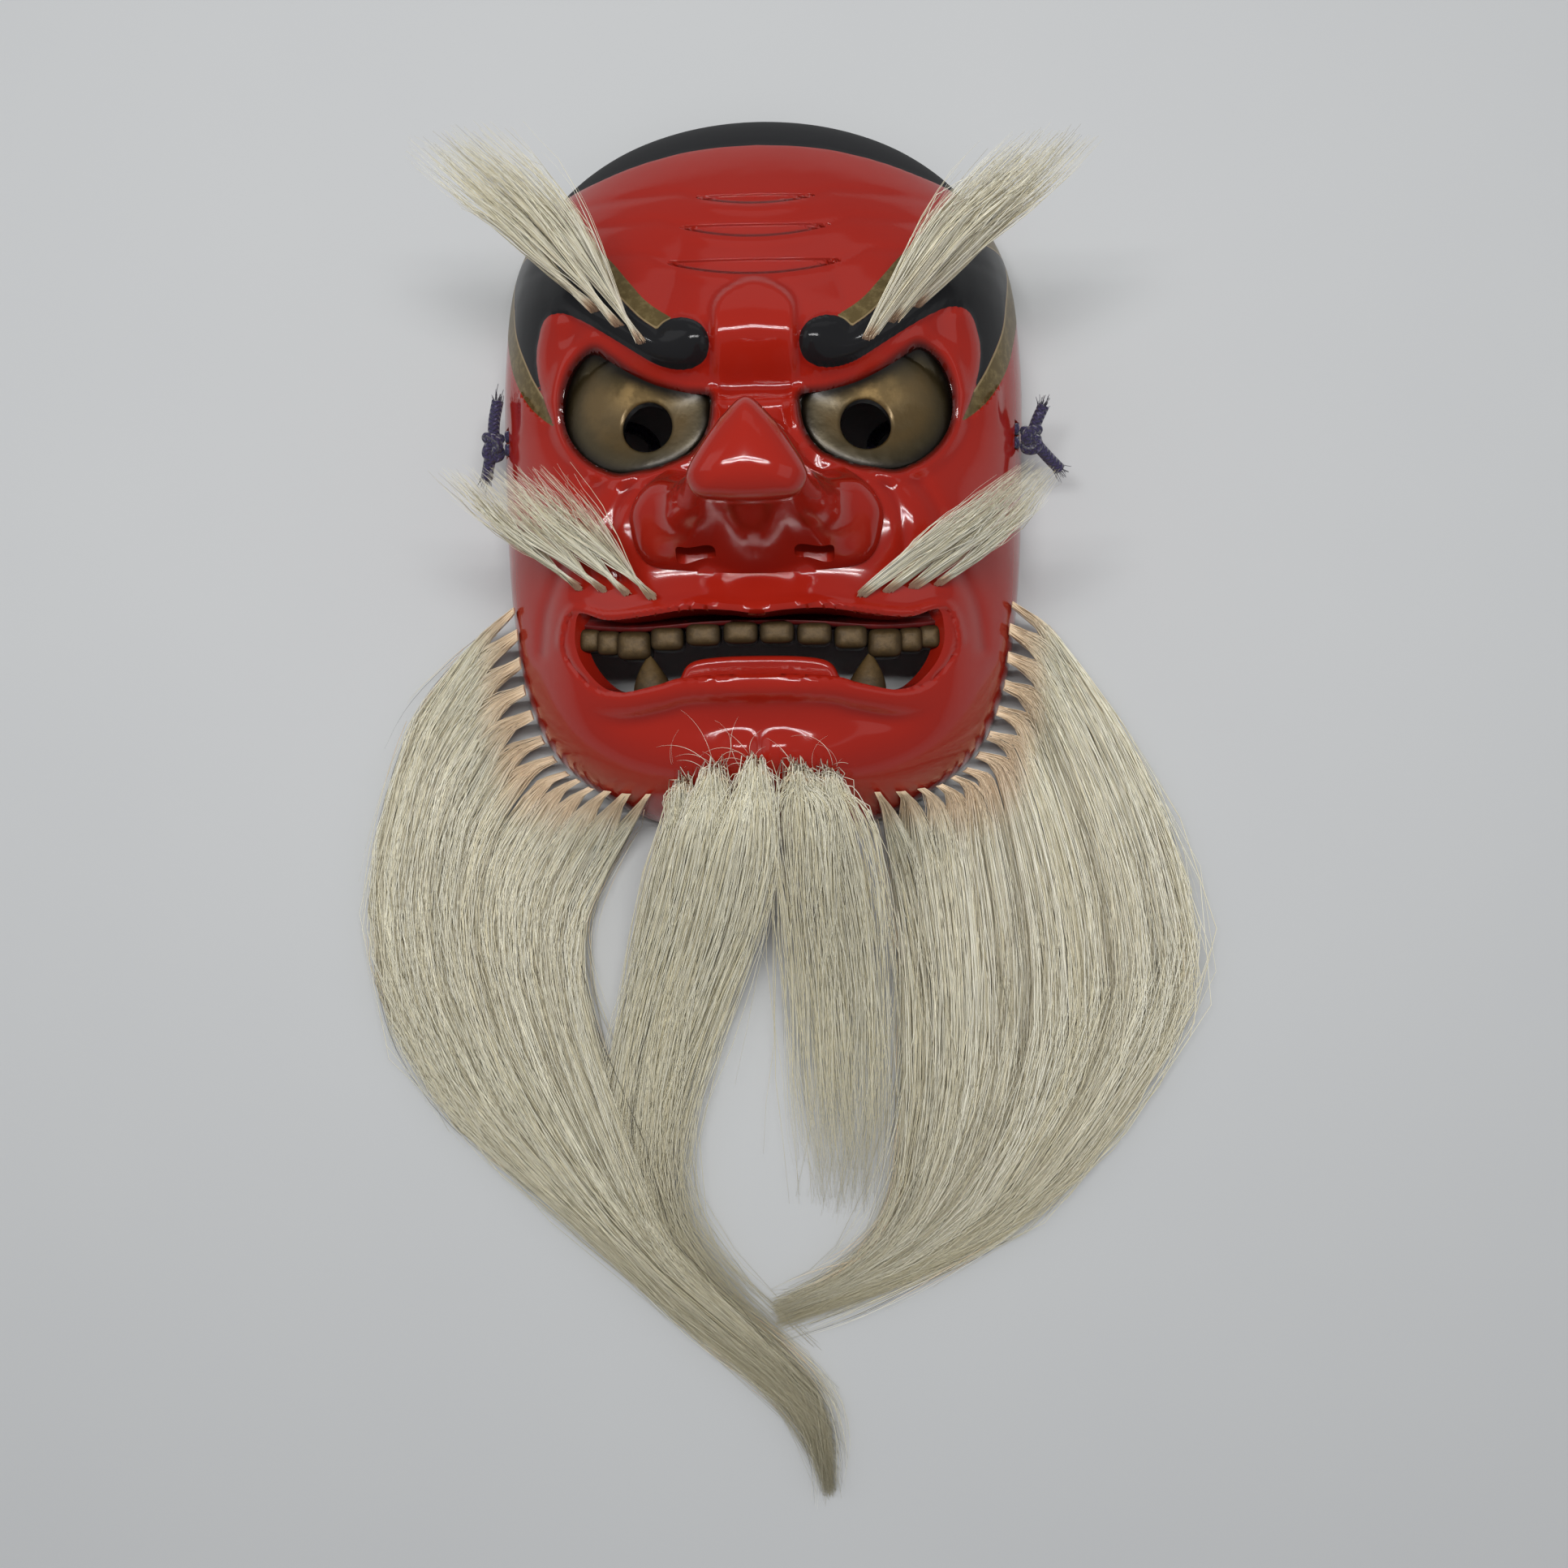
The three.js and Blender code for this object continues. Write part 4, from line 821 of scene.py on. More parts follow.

# Eyes: each eyeball is left standing in the wood below its lids, gilded over black and rubbed. Its colour is
# painted darker towards its edge, partly the black showing and partly painted shade under the lids, and a
# bright patch over the pupil is a painted highlight. The pupil is a round hole bored through, which the
# wearer sees by; its wall is painted near-black as painted shade.
EYE_MIDDLE = (43.0, 150.0)
EYE_REACH = (27, 21)
EYE_SUNK, EYE_BULGE, EYE_BELOW_LIDS = 1.9, 3.2, 1.4
GLINT_REACH = (10, 5)
PUPIL_EDGE_ROLL = 0.7
GLINT_AT = (39.0, 157.5)
PUPIL_AT, PUPIL_RADIUS = (38.2, 145.4), 8.9
EYE_EDGE_ANGLE = 50
EYE_GOLD = (0.11, 0.070, 0.024, 1)
EYE_OLIVE = (0.050, 0.037, 0.015, 1)
EYE_DARK = (0.010, 0.007, 0.004, 1)
EYE_PAINTED_GLINT = (0.52, 0.34, 0.13, 1)


def eye_finish():
    finish = Finish("gilded_eye", roughness=0.38, metallic=0.55, coat_weight=0.12, coat_roughness=0.2)
    rim, hole = finish.mark("rim"), finish.mark("hole")
    rim_noise = (finish.noise(70, 3) - 0.5) * 3.0
    rubbed = finish.ramp(finish.noise(160, 4, 0.6), 0.38, 0.66)
    # The gold turns olive and then near-black towards the rim: partly the black showing under the gilding,
    # partly painted shade where the eye sinks under its lids.
    gold = finish.blend(finish.ramp(rim + rim_noise, 3.0, 11.0), EYE_OLIVE, EYE_GOLD)
    gold = finish.blend(rubbed * 0.3, gold, EYE_OLIVE)
    # A bright patch over the pupil is a painted highlight.
    gold = finish.blend(finish.mark("polish") * (0.4 + rubbed * 0.5), gold, EYE_PAINTED_GLINT)
    shade = finish.ramp(rim + rim_noise * 0.5, 4.6, 0.2)
    gold = finish.blend(shade, gold, EYE_DARK)
    # The pupil's edge and the bored wall under the eye are painted near-black as painted shade inside the
    # hole.
    gold = finish.blend(finish.ramp(hole, 0.5, -0.6), gold, EYE_DARK)
    finish.link(
        base_color=gold,
        roughness=0.32 + rubbed * 0.14,
        normal=finish.bump(finish.noise(240, 3), 0.0003, 0.5),
    )
    return finish


gilded = eye_finish()
for side, sign in (("left", -1), ("right", 1)):
    angle = np.arctan2(eye_outline[:, 1] - PUPIL_AT[1], eye_outline[:, 0] - PUPIL_AT[0])
    pupil_edge = np.array(PUPIL_AT) + PUPIL_RADIUS * np.column_stack([np.cos(angle), np.sin(angle)])
    rows = []
    for share in np.linspace(0, 1.03, 30):
        flat = pupil_edge + (eye_outline - pupil_edge) * share
        x, y = flat.T
        from_middle = np.hypot((x - EYE_MIDDLE[0]) / EYE_REACH[0], (y - EYE_MIDDLE[1]) / EYE_REACH[1])
        swell = (EYE_BULGE + EYE_SUNK) * np.sqrt(np.clip(1 - np.clip(from_middle, 0, 1)**2, 0, 1))
        socket = dome_height(x, y)[0] + broad_relief(x, y)
        height = socket - EYE_SUNK - EYE_BELOW_LIDS + swell
        roll = PUPIL_EDGE_ROLL * (1 - pillow(np.hypot(x - PUPIL_AT[0], y - PUPIL_AT[1]) - PUPIL_RADIUS, 1.0))
        rows.append(np.column_stack([x, y, height - roll]))
    low = [row - [0, 0, WALL - 1] for row in (rows[-1], rows[0])]
    loops = np.array(rows + low + [rows[0]])
    quads = ring_quads(*loops.shape[:2])
    vertices = loops.reshape(-1, 3)
    x, y = vertices[:, 0], vertices[:, 1]
    rim = -outline_distance(x, y, eye_outline)
    hole = np.hypot(x - PUPIL_AT[0], y - PUPIL_AT[1]) - PUPIL_RADIUS
    # Where the painted highlight over the pupil lies.
    polish = bell(np.hypot((x - GLINT_AT[0]) / GLINT_REACH[0], (y - GLINT_AT[1]) / GLINT_REACH[1]))
    # The walls under the eye count as inside the hole, so they are painted dark as painted shade.
    hole[len(rows) * len(eye_outline):] = -1
    if sign > 0:
        quads = quads[:, ::-1]
    eye = make_mesh(f"eye_{side}", vertices * [sign, 1, 1], [quads], {
        "rim": rim, "hole": hole, "polish": polish,
    })
    eye.set_sharp_from_angle(angle=math.radians(EYE_EDGE_ANGLE))
    make_piece(eye, [gilded])

# Teeth, gum, fangs and tongue: carved from the same block, deep behind the lips. The teeth and fangs
# are bronze paint over black, the gum is black, and the tongue is lacquered red like the face.
GUM = [(-69, 84), (-69, 77.5), (-45, 74.6), (-20, 76), (0, 76.6), (20, 76), (45, 74.6), (69, 77.5), (69, 84)]
TEETH = [
    (6.4, 73.7, 12.3, 8.0), (19.6, 73.1, 12.3, 8.0), (32.4, 71.9, 11.8, 8.4), (44.4, 69.9, 12.4, 10.4),
    (53.6, 71.0, 8.6, 8.8), (60.4, 72.2, 7.8, 8.2),
]
TEETH_TOP, TEETH_CURVE = 65.4, 10.0
GUM_SUNK, GUM_EDGE = 1.2, 1.6
TOOTH_SIDES, TOOTH_ROUNDING, TOOTH_BULGE, TOOTH_DEPTH = 36, 1 / 2.1, 0.35, 8
FANG_ROOT, FANG_TIP, FANG_WIDTH, FANG_HEIGHT = (36.9, 51.0), (39.0, 66.6), 15.6, 58.0
FANG_LEAN, FANG_FLATNESS, FANG_SIDES = 0.8, 0.62, 28
TONGUE = [(0, 65.8), (15.2, 65.4), (24.2, 63.7), (27.9, 59.1), (29, 52), (0, 52)]
TONGUE_TOP, TONGUE_EDGE, TONGUE_SLOPE, TONGUE_MIDDLE = 60.0, 2.6, 0.22, 60
BRONZE = (0.046, 0.028, 0.010, 1)
BRONZE_RUBBED = (0.095, 0.057, 0.019, 1)
BRONZE_SHADE = (0.012, 0.009, 0.006, 1)


def bronze_finish():
    finish = Finish("bronze_teeth", roughness=0.5, metallic=0.25, specular_ior_level=0.3)
    crown = finish.mark("crown")
    worn = finish.noise(500, 4, 0.65)
    color = finish.blend(finish.ramp(crown + worn * 0.3, 0.35, 0.95), BRONZE_SHADE, BRONZE)
    color = finish.blend(finish.ramp(crown + worn * 0.5, 1.0, 1.35), color, BRONZE_RUBBED)
    finish.link(base_color=color, normal=finish.bump(worn, 0.0003, 0.6))
    return finish


def gum_finish():
    finish = Finish("black_gum", roughness=0.4, specular_ior_level=0.3)
    worn = finish.noise(300, 3)
    finish.link(
        base_color=finish.blend(worn, NEAR_BLACK_RED, RED_DEEP),
        normal=finish.bump(worn, 0.0003, 0.5),
    )
    return finish


def tooth(at, size):
    """A rounded cushion that bulges forward, with a mark from its edge to its crown."""
    flat = rounded_oblong(*size, TOOTH_ROUNDING, TOOTH_SIDES)
    rows, crown = [], []
    for turn in np.linspace(0.12, np.pi / 2, 9):
        height = (np.cos(turn)**0.8 - 1) * TOOTH_BULGE * size[1]
        rows.append(np.column_stack([flat * np.sin(turn)**0.75, np.full(TOOTH_SIDES, height)]))
        crown.append(np.full(TOOTH_SIDES, np.cos(turn)**0.6))
    rows.append(rows[-1] - [0, 0, TOOTH_DEPTH])
    crown.append(np.zeros(TOOTH_SIDES))
    vertices, faces = ring_body([[0, 0, 0]], np.array(rows), [[0, 0, rows[-1][0, 2]]])
    crown = np.concatenate([[1], np.concatenate(crown), [0]])
    return vertices + at, faces, {"crown": crown}


def fang(sign):
    """A cone that leans outwards and forwards from its root to its tip, flatter than it is wide."""
    rows, crown = [], []
    turn = np.linspace(0, 2 * np.pi, FANG_SIDES, endpoint=False)
    for step in np.linspace(0.02, 1, 16):
        width = 0.5 * FANG_WIDTH * (1 - (1 - step)**1.5)**0.9
        x = FANG_TIP[0] + (FANG_ROOT[0] - FANG_TIP[0]) * step**2 + width * np.cos(turn)
        y = FANG_TIP[1] + (FANG_ROOT[1] - FANG_TIP[1]) * step
        z = FANG_HEIGHT + FANG_LEAN * (1 - step) + FANG_FLATNESS * width * np.sin(turn)
        rows.append(np.column_stack([sign * x, np.full(FANG_SIDES, y), z]))
        # The mark rises towards the tip and on the upper side, so each fang is painted lighter on top and
        # darker underneath: painted light and painted shade.
        crown.append(0.45 + 0.55 * (1 - step) + 0.25 * np.clip(np.sin(turn), 0, 1))
    tip_end = [[sign * FANG_TIP[0], FANG_TIP[1] + 0.1, FANG_HEIGHT + FANG_LEAN]]
    root_end = [[sign * FANG_ROOT[0], FANG_ROOT[1], FANG_HEIGHT]]
    vertices, faces = ring_body(tip_end, np.array(rows), root_end)
    if sign > 0:
        faces = [face[:, ::-1] for face in faces]
    return vertices, faces, {"crown": np.concatenate([[1], np.concatenate(crown), [0]])}


def rounded_slab(outline, low, top, edge):
    """An upright slab whose upper edge is rolled over."""
    outline = counter_clockwise(outline)
    rings = []
    for turn in np.linspace(0, np.pi / 2, 7)[::-1]:
        height = np.full(len(outline), top - edge * (1 - math.sin(turn)))
        rings.append(np.column_stack([widened(outline, -edge * (1 - math.cos(turn))), height]))
    rings.append(np.column_stack([outline, np.full(len(outline), low)]))
    middle = outline.mean(0)
    return ring_body([[*middle, top]], np.array(rings), [[*middle, low]])


def set_back(x):
    """How much lower the row of teeth is at its ends than in its middle."""
    return TEETH_CURVE * (np.abs(x) / 70)**2.4


bronze = bronze_finish()
teeth = []
for sign in (-1, 1):
    for x, y, width, height in TEETH:
        teeth.append(tooth((sign * x, y, TEETH_TOP - set_back(x)), (width, height)))
    teeth.append(fang(sign))
make_piece(make_mesh("teeth", *joined(teeth)), [bronze])
gum_outline = smooth_line(GUM, 6)
gum_vertices, gum_faces = rounded_slab(gum_outline, MOUTH_FLOOR - 1, TEETH_TOP - GUM_SUNK, GUM_EDGE)
gum_vertices[:, 2] -= set_back(gum_vertices[:, 0]) * (gum_vertices[:, 2] > MOUTH_FLOOR)
make_piece(make_mesh("gum", gum_vertices, gum_faces), [gum_finish()])
tongue_vertices, tongue_faces = rounded_slab(both_sides(TONGUE), MOUTH_FLOOR, TONGUE_TOP, TONGUE_EDGE)
above_floor = tongue_vertices[:, 2] > MOUTH_FLOOR
tongue_vertices[:, 2] += TONGUE_SLOPE * (tongue_vertices[:, 1] - TONGUE_MIDDLE) * above_floor
make_piece(make_mesh("tongue", tongue_vertices, tongue_faces), [edge_finish])

# Brows: white horsehair, cut in lengths, gathered into tufts and glued into small holes in the wood.
# Brown glue has drawn into the roots, and the free ends are left as uneven as they grew. Each brow has
# three tufts over its outer half, that spread like a brush and stand away from the forehead.
WHITE_HAIR = (0.98, 0.95, 0.80, 1)
IVORY_HAIR = (0.94, 0.87, 0.64, 1)
GREY_AND_SHADED_HAIR = (0.30, 0.26, 0.17, 1)
GLUED_HAIR = (0.85, 0.62, 0.40, 1)
YELLOWED_AND_SHADED_HAIR = (0.54, 0.48, 0.30, 1)
DARK_HAIR = (0.035, 0.028, 0.022, 1)
HAIR_SIDES = 3
ROOT_RADIUS = 1.3
BROW_HAIRS = 260
BROW_HAIR_RADIUS = 0.15
BROW_STATIONS = 9
BROW_DEPTH = 8
STRAIGHTENED = 0.6
TUFT_CLEARANCE = 1.2
BROW_SPREADS = ((0.12, 0.27), (0.02, 0.22), (-0.08, 0.18))
BROW_FANS = {
    "left": [
        [(-34, 168, 77), (-41, 190, 90), (-49, 214, 100), (-61, 224, 107), (-81, 232, 112)],
        [(-58.5, 187, 74), (-71, 191, 84), (-84, 202, 94), (-97, 211.5, 102), (-112, 226, 108)],
    ],
    "right": [
        [(34, 168, 77), (41.2, 190, 90), (50, 211, 100), (63, 220, 107), (80, 226, 112)],
        [(58.5, 187, 74), (71, 190, 84), (84, 198, 94), (98, 207, 102), (112, 226, 108)],
    ],
}
chance = np.random.default_rng(17)


def hair_finish(name, glued_to, yellow_and_shade_from, yellow_and_shade_to):
    """White hair, brown up to a distance from its root, and yellower towards its ends, where it is also
    painted darker as painted shade. Grey hairs stand partly for painted shade between hairs.
    """
    finish = Finish(name, roughness=0.34, specular_ior_level=0.8)
    shade, reach = finish.mark("shade"), finish.mark("reach")
    hair = finish.blend(finish.ramp(shade, 0, 0.5), GREY_AND_SHADED_HAIR, IVORY_HAIR)
    hair = finish.blend(finish.ramp(shade, 0.45, 1), hair, WHITE_HAIR)
    streak = finish.noise(900, 2)
    hair = finish.blend(finish.ramp(streak, 0.6, 0.8, 0, 0.25), hair, GREY_AND_SHADED_HAIR)
    # Towards the ends the hair is yellowed and also painted darker: painted shade.
    hair = finish.blend(finish.ramp(reach, yellow_and_shade_from, yellow_and_shade_to, 0, 0.75), hair, YELLOWED_AND_SHADED_HAIR)
    hair = finish.blend(finish.ramp(reach, 0.3 * glued_to, glued_to, 0.8, 0), hair, GLUED_HAIR)
    hair = finish.blend(finish.mark("black_hair"), hair, DARK_HAIR)
    finish.link(base_color=hair, roughness=finish.ramp(streak, 0.3, 0.8, 0.3, 0.5))
    return finish


def along(line, share):
    """The points at any shares of the way down a line."""
    at = np.clip(share, 0, 1) * (len(line) - 1)
    step = np.minimum(at.astype(int), len(line) - 2)
    part = (at - step)[..., None]
    return line[step] * (1 - part) + line[step + 1] * part


def even_line(points):
    return smooth_line(points, 12)


def between(first, second, share, lane):
    """Points at shares of the way down two lines, and at lanes of the way from the first to the second."""
    lane = np.asarray(lane)[..., None]
    return along(first, share) * (1 - lane) + along(second, share) * lane


def stations(hairs, count, ends, crowding=1.25):
    """Shares of the way along each hair, closer together at its root and never all in step."""
    steps = np.linspace(0, 1, count)
    shares = np.broadcast_to(steps, (hairs, count)).copy()
    shares[:, 1:-1] += chance.uniform(-0.42, 0.42, (hairs, 1)) / (count - 1)
    return shares**crowding * ends[:, None]


def waves(shares, size, turns, groups=None):
    """A slow sideways and upward wander along each hair, or shared by the hairs of a wisp."""
    hairs = len(shares)
    wander = np.zeros(shares.shape + (3,))
    for k in range(3):
        phase = chance.uniform(0, 2 * np.pi, (hairs, 3))
        speed = chance.uniform(0.5, 1.4, (hairs, 3)) * turns * (k + 1) / 2
        if groups is not None:
            phase, speed = phase[groups], speed[groups]
        wander += np.sin(2 * np.pi * speed[:, None] * shares[..., None] + phase[:, None]) / (k + 1)
    return size * wander * (1, 1, 0.5)


def hair_body(paths, radius):
    """One body per hair: a three-sided tube along each path, as thick as its given radius at each point."""
    hairs, count = paths.shape[:2]
    tangents = unit(np.gradient(paths, axis=1))
    aside = np.eye(3)[np.argmin(np.abs(tangents).mean((0, 1)))]
    across = unit(np.cross(tangents, aside))
    over = np.cross(tangents, across)
    turn = 2 * np.pi * np.arange(HAIR_SIDES) / HAIR_SIDES
    rings = np.cos(turn)[:, None] * across[:, :, None] + np.sin(turn)[:, None] * over[:, :, None]
    vertices = (paths[:, :, None] + radius[:, :, None, None] * rings).reshape(-1, 3)
    first = (np.arange(hairs) * count * HAIR_SIDES)[:, None]
    quads = (first[..., None] + ring_quads(count, HAIR_SIDES)).reshape(-1, 4)
    end = np.arange(HAIR_SIDES)
    return vertices, [quads, first + end[::-1], first + (count - 1) * HAIR_SIDES + end]


def hair_tuft(paths, thickness, shade, dark=0.006):
    """A tuft's body with its marks: how light each hair is, how far from the root, and black ones."""
    hairs, count = paths.shape[:2]
    steps = np.linalg.norm(np.diff(paths, axis=1), axis=2)
    reach = np.concatenate([np.zeros((hairs, 1)), np.cumsum(steps, 1)], 1)
    taper = 1 - 0.75 * ramp(0.55, 1, reach / reach[:, -1:])
    radius = thickness * chance.uniform(0.75, 1.2, (hairs, 1)) * taper
    black = chance.random(hairs) < dark
    radius[black] *= 0.8
    marks = {"shade": np.broadcast_to(shade[:, None], reach.shape), "reach": reach,
             "black_hair": np.broadcast_to(black[:, None].astype(float), reach.shape)}
    vertices, faces = hair_body(paths, radius)
    return vertices, faces, {name: np.repeat(values.ravel(), HAIR_SIDES) for name, values in marks.items()}


def wisps(hairs, count, loose):
    """Where in the tuft's round each hair lies, gathered into wisps: across, up, and the wisp's number."""
    at = chance.uniform(-0.95, 0.95, (count, 2))
    group = chance.integers(0, count, hairs)
    spot = np.clip(at[group] + chance.normal(0, loose, (hairs, 2)), -1.3, 1.3)
    # Each hair's lightness varies at random by wisp and by hair. It is painted lighter towards the top of
    # the tuft as painted light, and about one hair in six is painted dark as painted shade in the gaps
    # between hairs.
    light = 0.74 + 0.13 * chance.normal(size=count)[group] + 0.25 * chance.normal(size=hairs)
    light = np.clip(light + 0.12 * spot[:, 1], 0.2, 1) * np.where(chance.random(hairs) < 0.16, 0.2, 1)
    return spot[:, 0], spot[:, 1], group, light


def carving_under(x, y, reach):
    """Height of the carved face under a hair, and of the table beyond a reach from the face's middle."""
    return np.where(np.hypot(x, y - FACE_MIDDLE) < reach, face_height(x, y), 0)


def fan_tuft(fan, lane, spreads, hairs, depth, thickness):
    """One tuft of a brow or a moustache, between the edge lines of its fan and clear of the face."""
    first, second = [even_line(line) for line in fan]
    across, up, group, light = wisps(hairs, hairs // 8, 0.35)
    ends = 1.03 - 0.62 * chance.random(hairs)**1.3
    shares = stations(hairs, BROW_STATIONS, ends, 1.1)
    drift, spread = spreads[lane]
    middle = (lane + 0.5) / len(spreads)
    headed = drift + spread * (across + chance.normal(0, 0.3, hairs))
    paths = between(first, second, shares, middle + headed[:, None] * shares)
    root = between(first, second, np.zeros(1), middle)
    aim = between(first, second, np.ones(1), middle + headed)
    straight = root + (aim - root)[:, None] * shares[..., None]
    paths[..., :2] += STRAIGHTENED * (straight - paths)[..., :2]
    past = np.maximum(shares - 1, 0)[..., None]
    paths += past * (aim - root)[:, None]
    thick = ROOT_RADIUS + (depth / 2 - ROOT_RADIUS) * ramp(0, 0.5, shares)
    paths[:, :, 2] += up[:, None] * thick
    round_root = ROOT_RADIUS * np.column_stack([across, 0.5 * up, 0.6 * up])
    paths += round_root[:, None] * ramp(0.5, 0, shares)[..., None]
    paths += waves(shares, 0.7, 1.5, group) * ramp(0.1, 0.8, shares)[..., None]
    wild = np.where(chance.random(hairs) < 0.08, 5.0, 1.0)[:, None, None]
    paths += wild * waves(shares, 0.45, 2.0) * ramp(0.05, 0.7, shares)[..., None]
    low = carving_under(paths[..., 0], paths[..., 1], 97) + TUFT_CLEARANCE
    paths[:, 1:, 2] = np.maximum(paths[:, 1:, 2], low[:, 1:])
    return hair_tuft(paths, thickness, light, 0.014)


def plant_tufts(place_name, fans, spreads, hairs, depth, thickness, finish):
    """The tufts of both brows, or of both halves of the moustache."""
    for side, fan in fans.items():
        lanes = range(len(spreads))
        tufts = [fan_tuft(fan, lane, spreads, hairs, depth, thickness) for lane in lanes]
        nodes = [f"{place_name}_tuft_{side}_{lane + 1}" for lane in lanes]
        make_piece(make_mesh(f"{place_name}_hair_{side}", *joined(tufts)), [finish], nodes)


brow_hair = hair_finish("brow_horsehair", 7, 60, 140)
plant_tufts("brow", BROW_FANS, BROW_SPREADS, BROW_HAIRS, BROW_DEPTH, BROW_HAIR_RADIUS, brow_hair)

# Moustache: four thinner tufts stand in a row in the crease over each corner of the mouth, and sweep up
# and outwards over the cheek.
MOUSTACHE_HAIRS = 160
MOUSTACHE_HAIR_RADIUS = 0.14
MOUSTACHE_DEPTH = 7
MOUSTACHE_SPREADS = ((0.07, 0.27), (0.02, 0.25), (-0.02, 0.25), (-0.07, 0.22))
MOUSTACHE_FANS = {
    "left": [
        [(-31.5, 84, 79.5), (-44, 99, 87), (-56, 113, 95), (-68, 124, 102)],
        [(-67.5, 90.5, 66), (-82, 98, 76), (-97, 110, 86), (-105, 124, 94)],
    ],
    "right": [
        [(31.5, 84, 79.5), (47, 98, 87), (66, 110, 95), (87, 123, 102)],
        [(67.5, 90.5, 66), (82, 95, 76), (95, 105, 86), (100, 121, 94)],
    ],
}
moustache_hair = hair_finish("moustache_horsehair", 5, 40, 110)
plant_tufts(
    "moustache", MOUSTACHE_FANS, MOUSTACHE_SPREADS, MOUSTACHE_HAIRS, MOUSTACHE_DEPTH,
    MOUSTACHE_HAIR_RADIUS, moustache_hair,
)

# Beard: thirteen tufts are set along each side of the jaw. They leave the wood square to it, stiff with
# glue for their first inch, then turn down and lie on the table as one combed sweep that ends in a tail.
# The outer seven lie over the inner six.
BEARD_ROOTS = [
    (93.1, 87.2, 24), (91.9, 77.4, 23), (91.5, 66.9, 22), (90.7, 56.8, 20), (88.2, 47.4, 18),
    (85, 38, 15), (81.3, 30.8, 12), (76.5, 25.1, 11), (71.6, 22.6, 14), (66.2, 19.3, 18),
    (58.6, 18.2, 24), (50.9, 17.1, 31), (40.9, 17, 38),
]
BEARD_LINES = {
    "left": {
        "outer": [
            (-93.5, 88.5), (-108.7, 80.6), (-123.6, 65.5), (-138.6, 42.4), (-151.3, -1.3), (-154.2, -35.9),
            (-145.4, -73.9), (-122.1, -110.3), (-90.8, -137.3), (-59.6, -162.7), (-31.5, -191.2),
            (-8, -209), (9, -224), (16, -241), (17, -258.3),
        ],
        "inner": [
            (-42.1, 16.9), (-48.5, 7.5), (-59.1, -8), (-69.4, -26.9), (-73, -45.7), (-70.2, -67.8),
            (-63.4, -93.1), (-54.3, -118.4), (-46.7, -143.7), (-36.5, -163.9), (-18, -180),
            (4, -197), (22, -216), (28, -236), (27, -252),
        ],
    },
    "right": {
        "outer": [
            (93.5, 87.7), (107.3, 81.2), (119.9, 65.9), (135.4, 39.6), (150.8, 5.5), (160.6, -31.9),
            (160.5, -63.1), (144.3, -94.2), (124, -122.3), (103.7, -144.3), (78.6, -161.7), (50, -175.5),
            (26, -186), (4, -194),
        ],
        "inner": [
            (37.2, 17.4), (40.4, 6.7), (45.1, -15), (49.1, -40.1), (51.5, -65.2), (52, -90.5),
            (50.5, -115.6), (47.5, -137.6), (42.1, -151.5), (33.6, -161.7), (22, -169), (10, -175),
            (0, -178),
        ],
    },
}
OUTER_TUFTS = 7
BEARD_HAIRS = 290
BEARD_HAIR_RADIUS = 0.16
LOOSE_HAIRS = 70
LOOSE_HAIR_RADIUS = 0.1
BEARD_STATIONS = 11
BEARD_DEPTH = 9.5
BEARD_TURN = 0.45
BEARD_FALL = 0.2
TABLE_GAP = 0.5
WALL_CLEARANCE = 1
COMBED = 0.2
COMBED_OUT, COMBED_UP, COMBED_AT = 3.5, 1.2, 0.07
ASTRAY = 0.12
TAIL_DRAW = {"left": 0.75, "right": 0.45}
PARTING, PARTING_WIDTH = 0.54, 0.012


def ground_under(paths):
    """Height of what hair lies on: the table, or the shell's own wall where it passes over the rim."""
    x, y = paths[..., 0], paths[..., 1] - FACE_MIDDLE
    reach = np.hypot(x, y)
    clear = np.maximum(reach - WALL_CLEARANCE, 1) / np.maximum(reach, 1)
    over_rim = reach * clear < rim_reach(np.arctan2(y, x))
    wall = face_height(x * clear, FACE_MIDDLE + y * clear)
    return np.where(over_rim, wall, 0) + TABLE_GAP


def sweep_edges(side):
    return [even_line([(x, y, 0) for x, y in BEARD_LINES[side][edge]]) for edge in ("outer", "inner")]


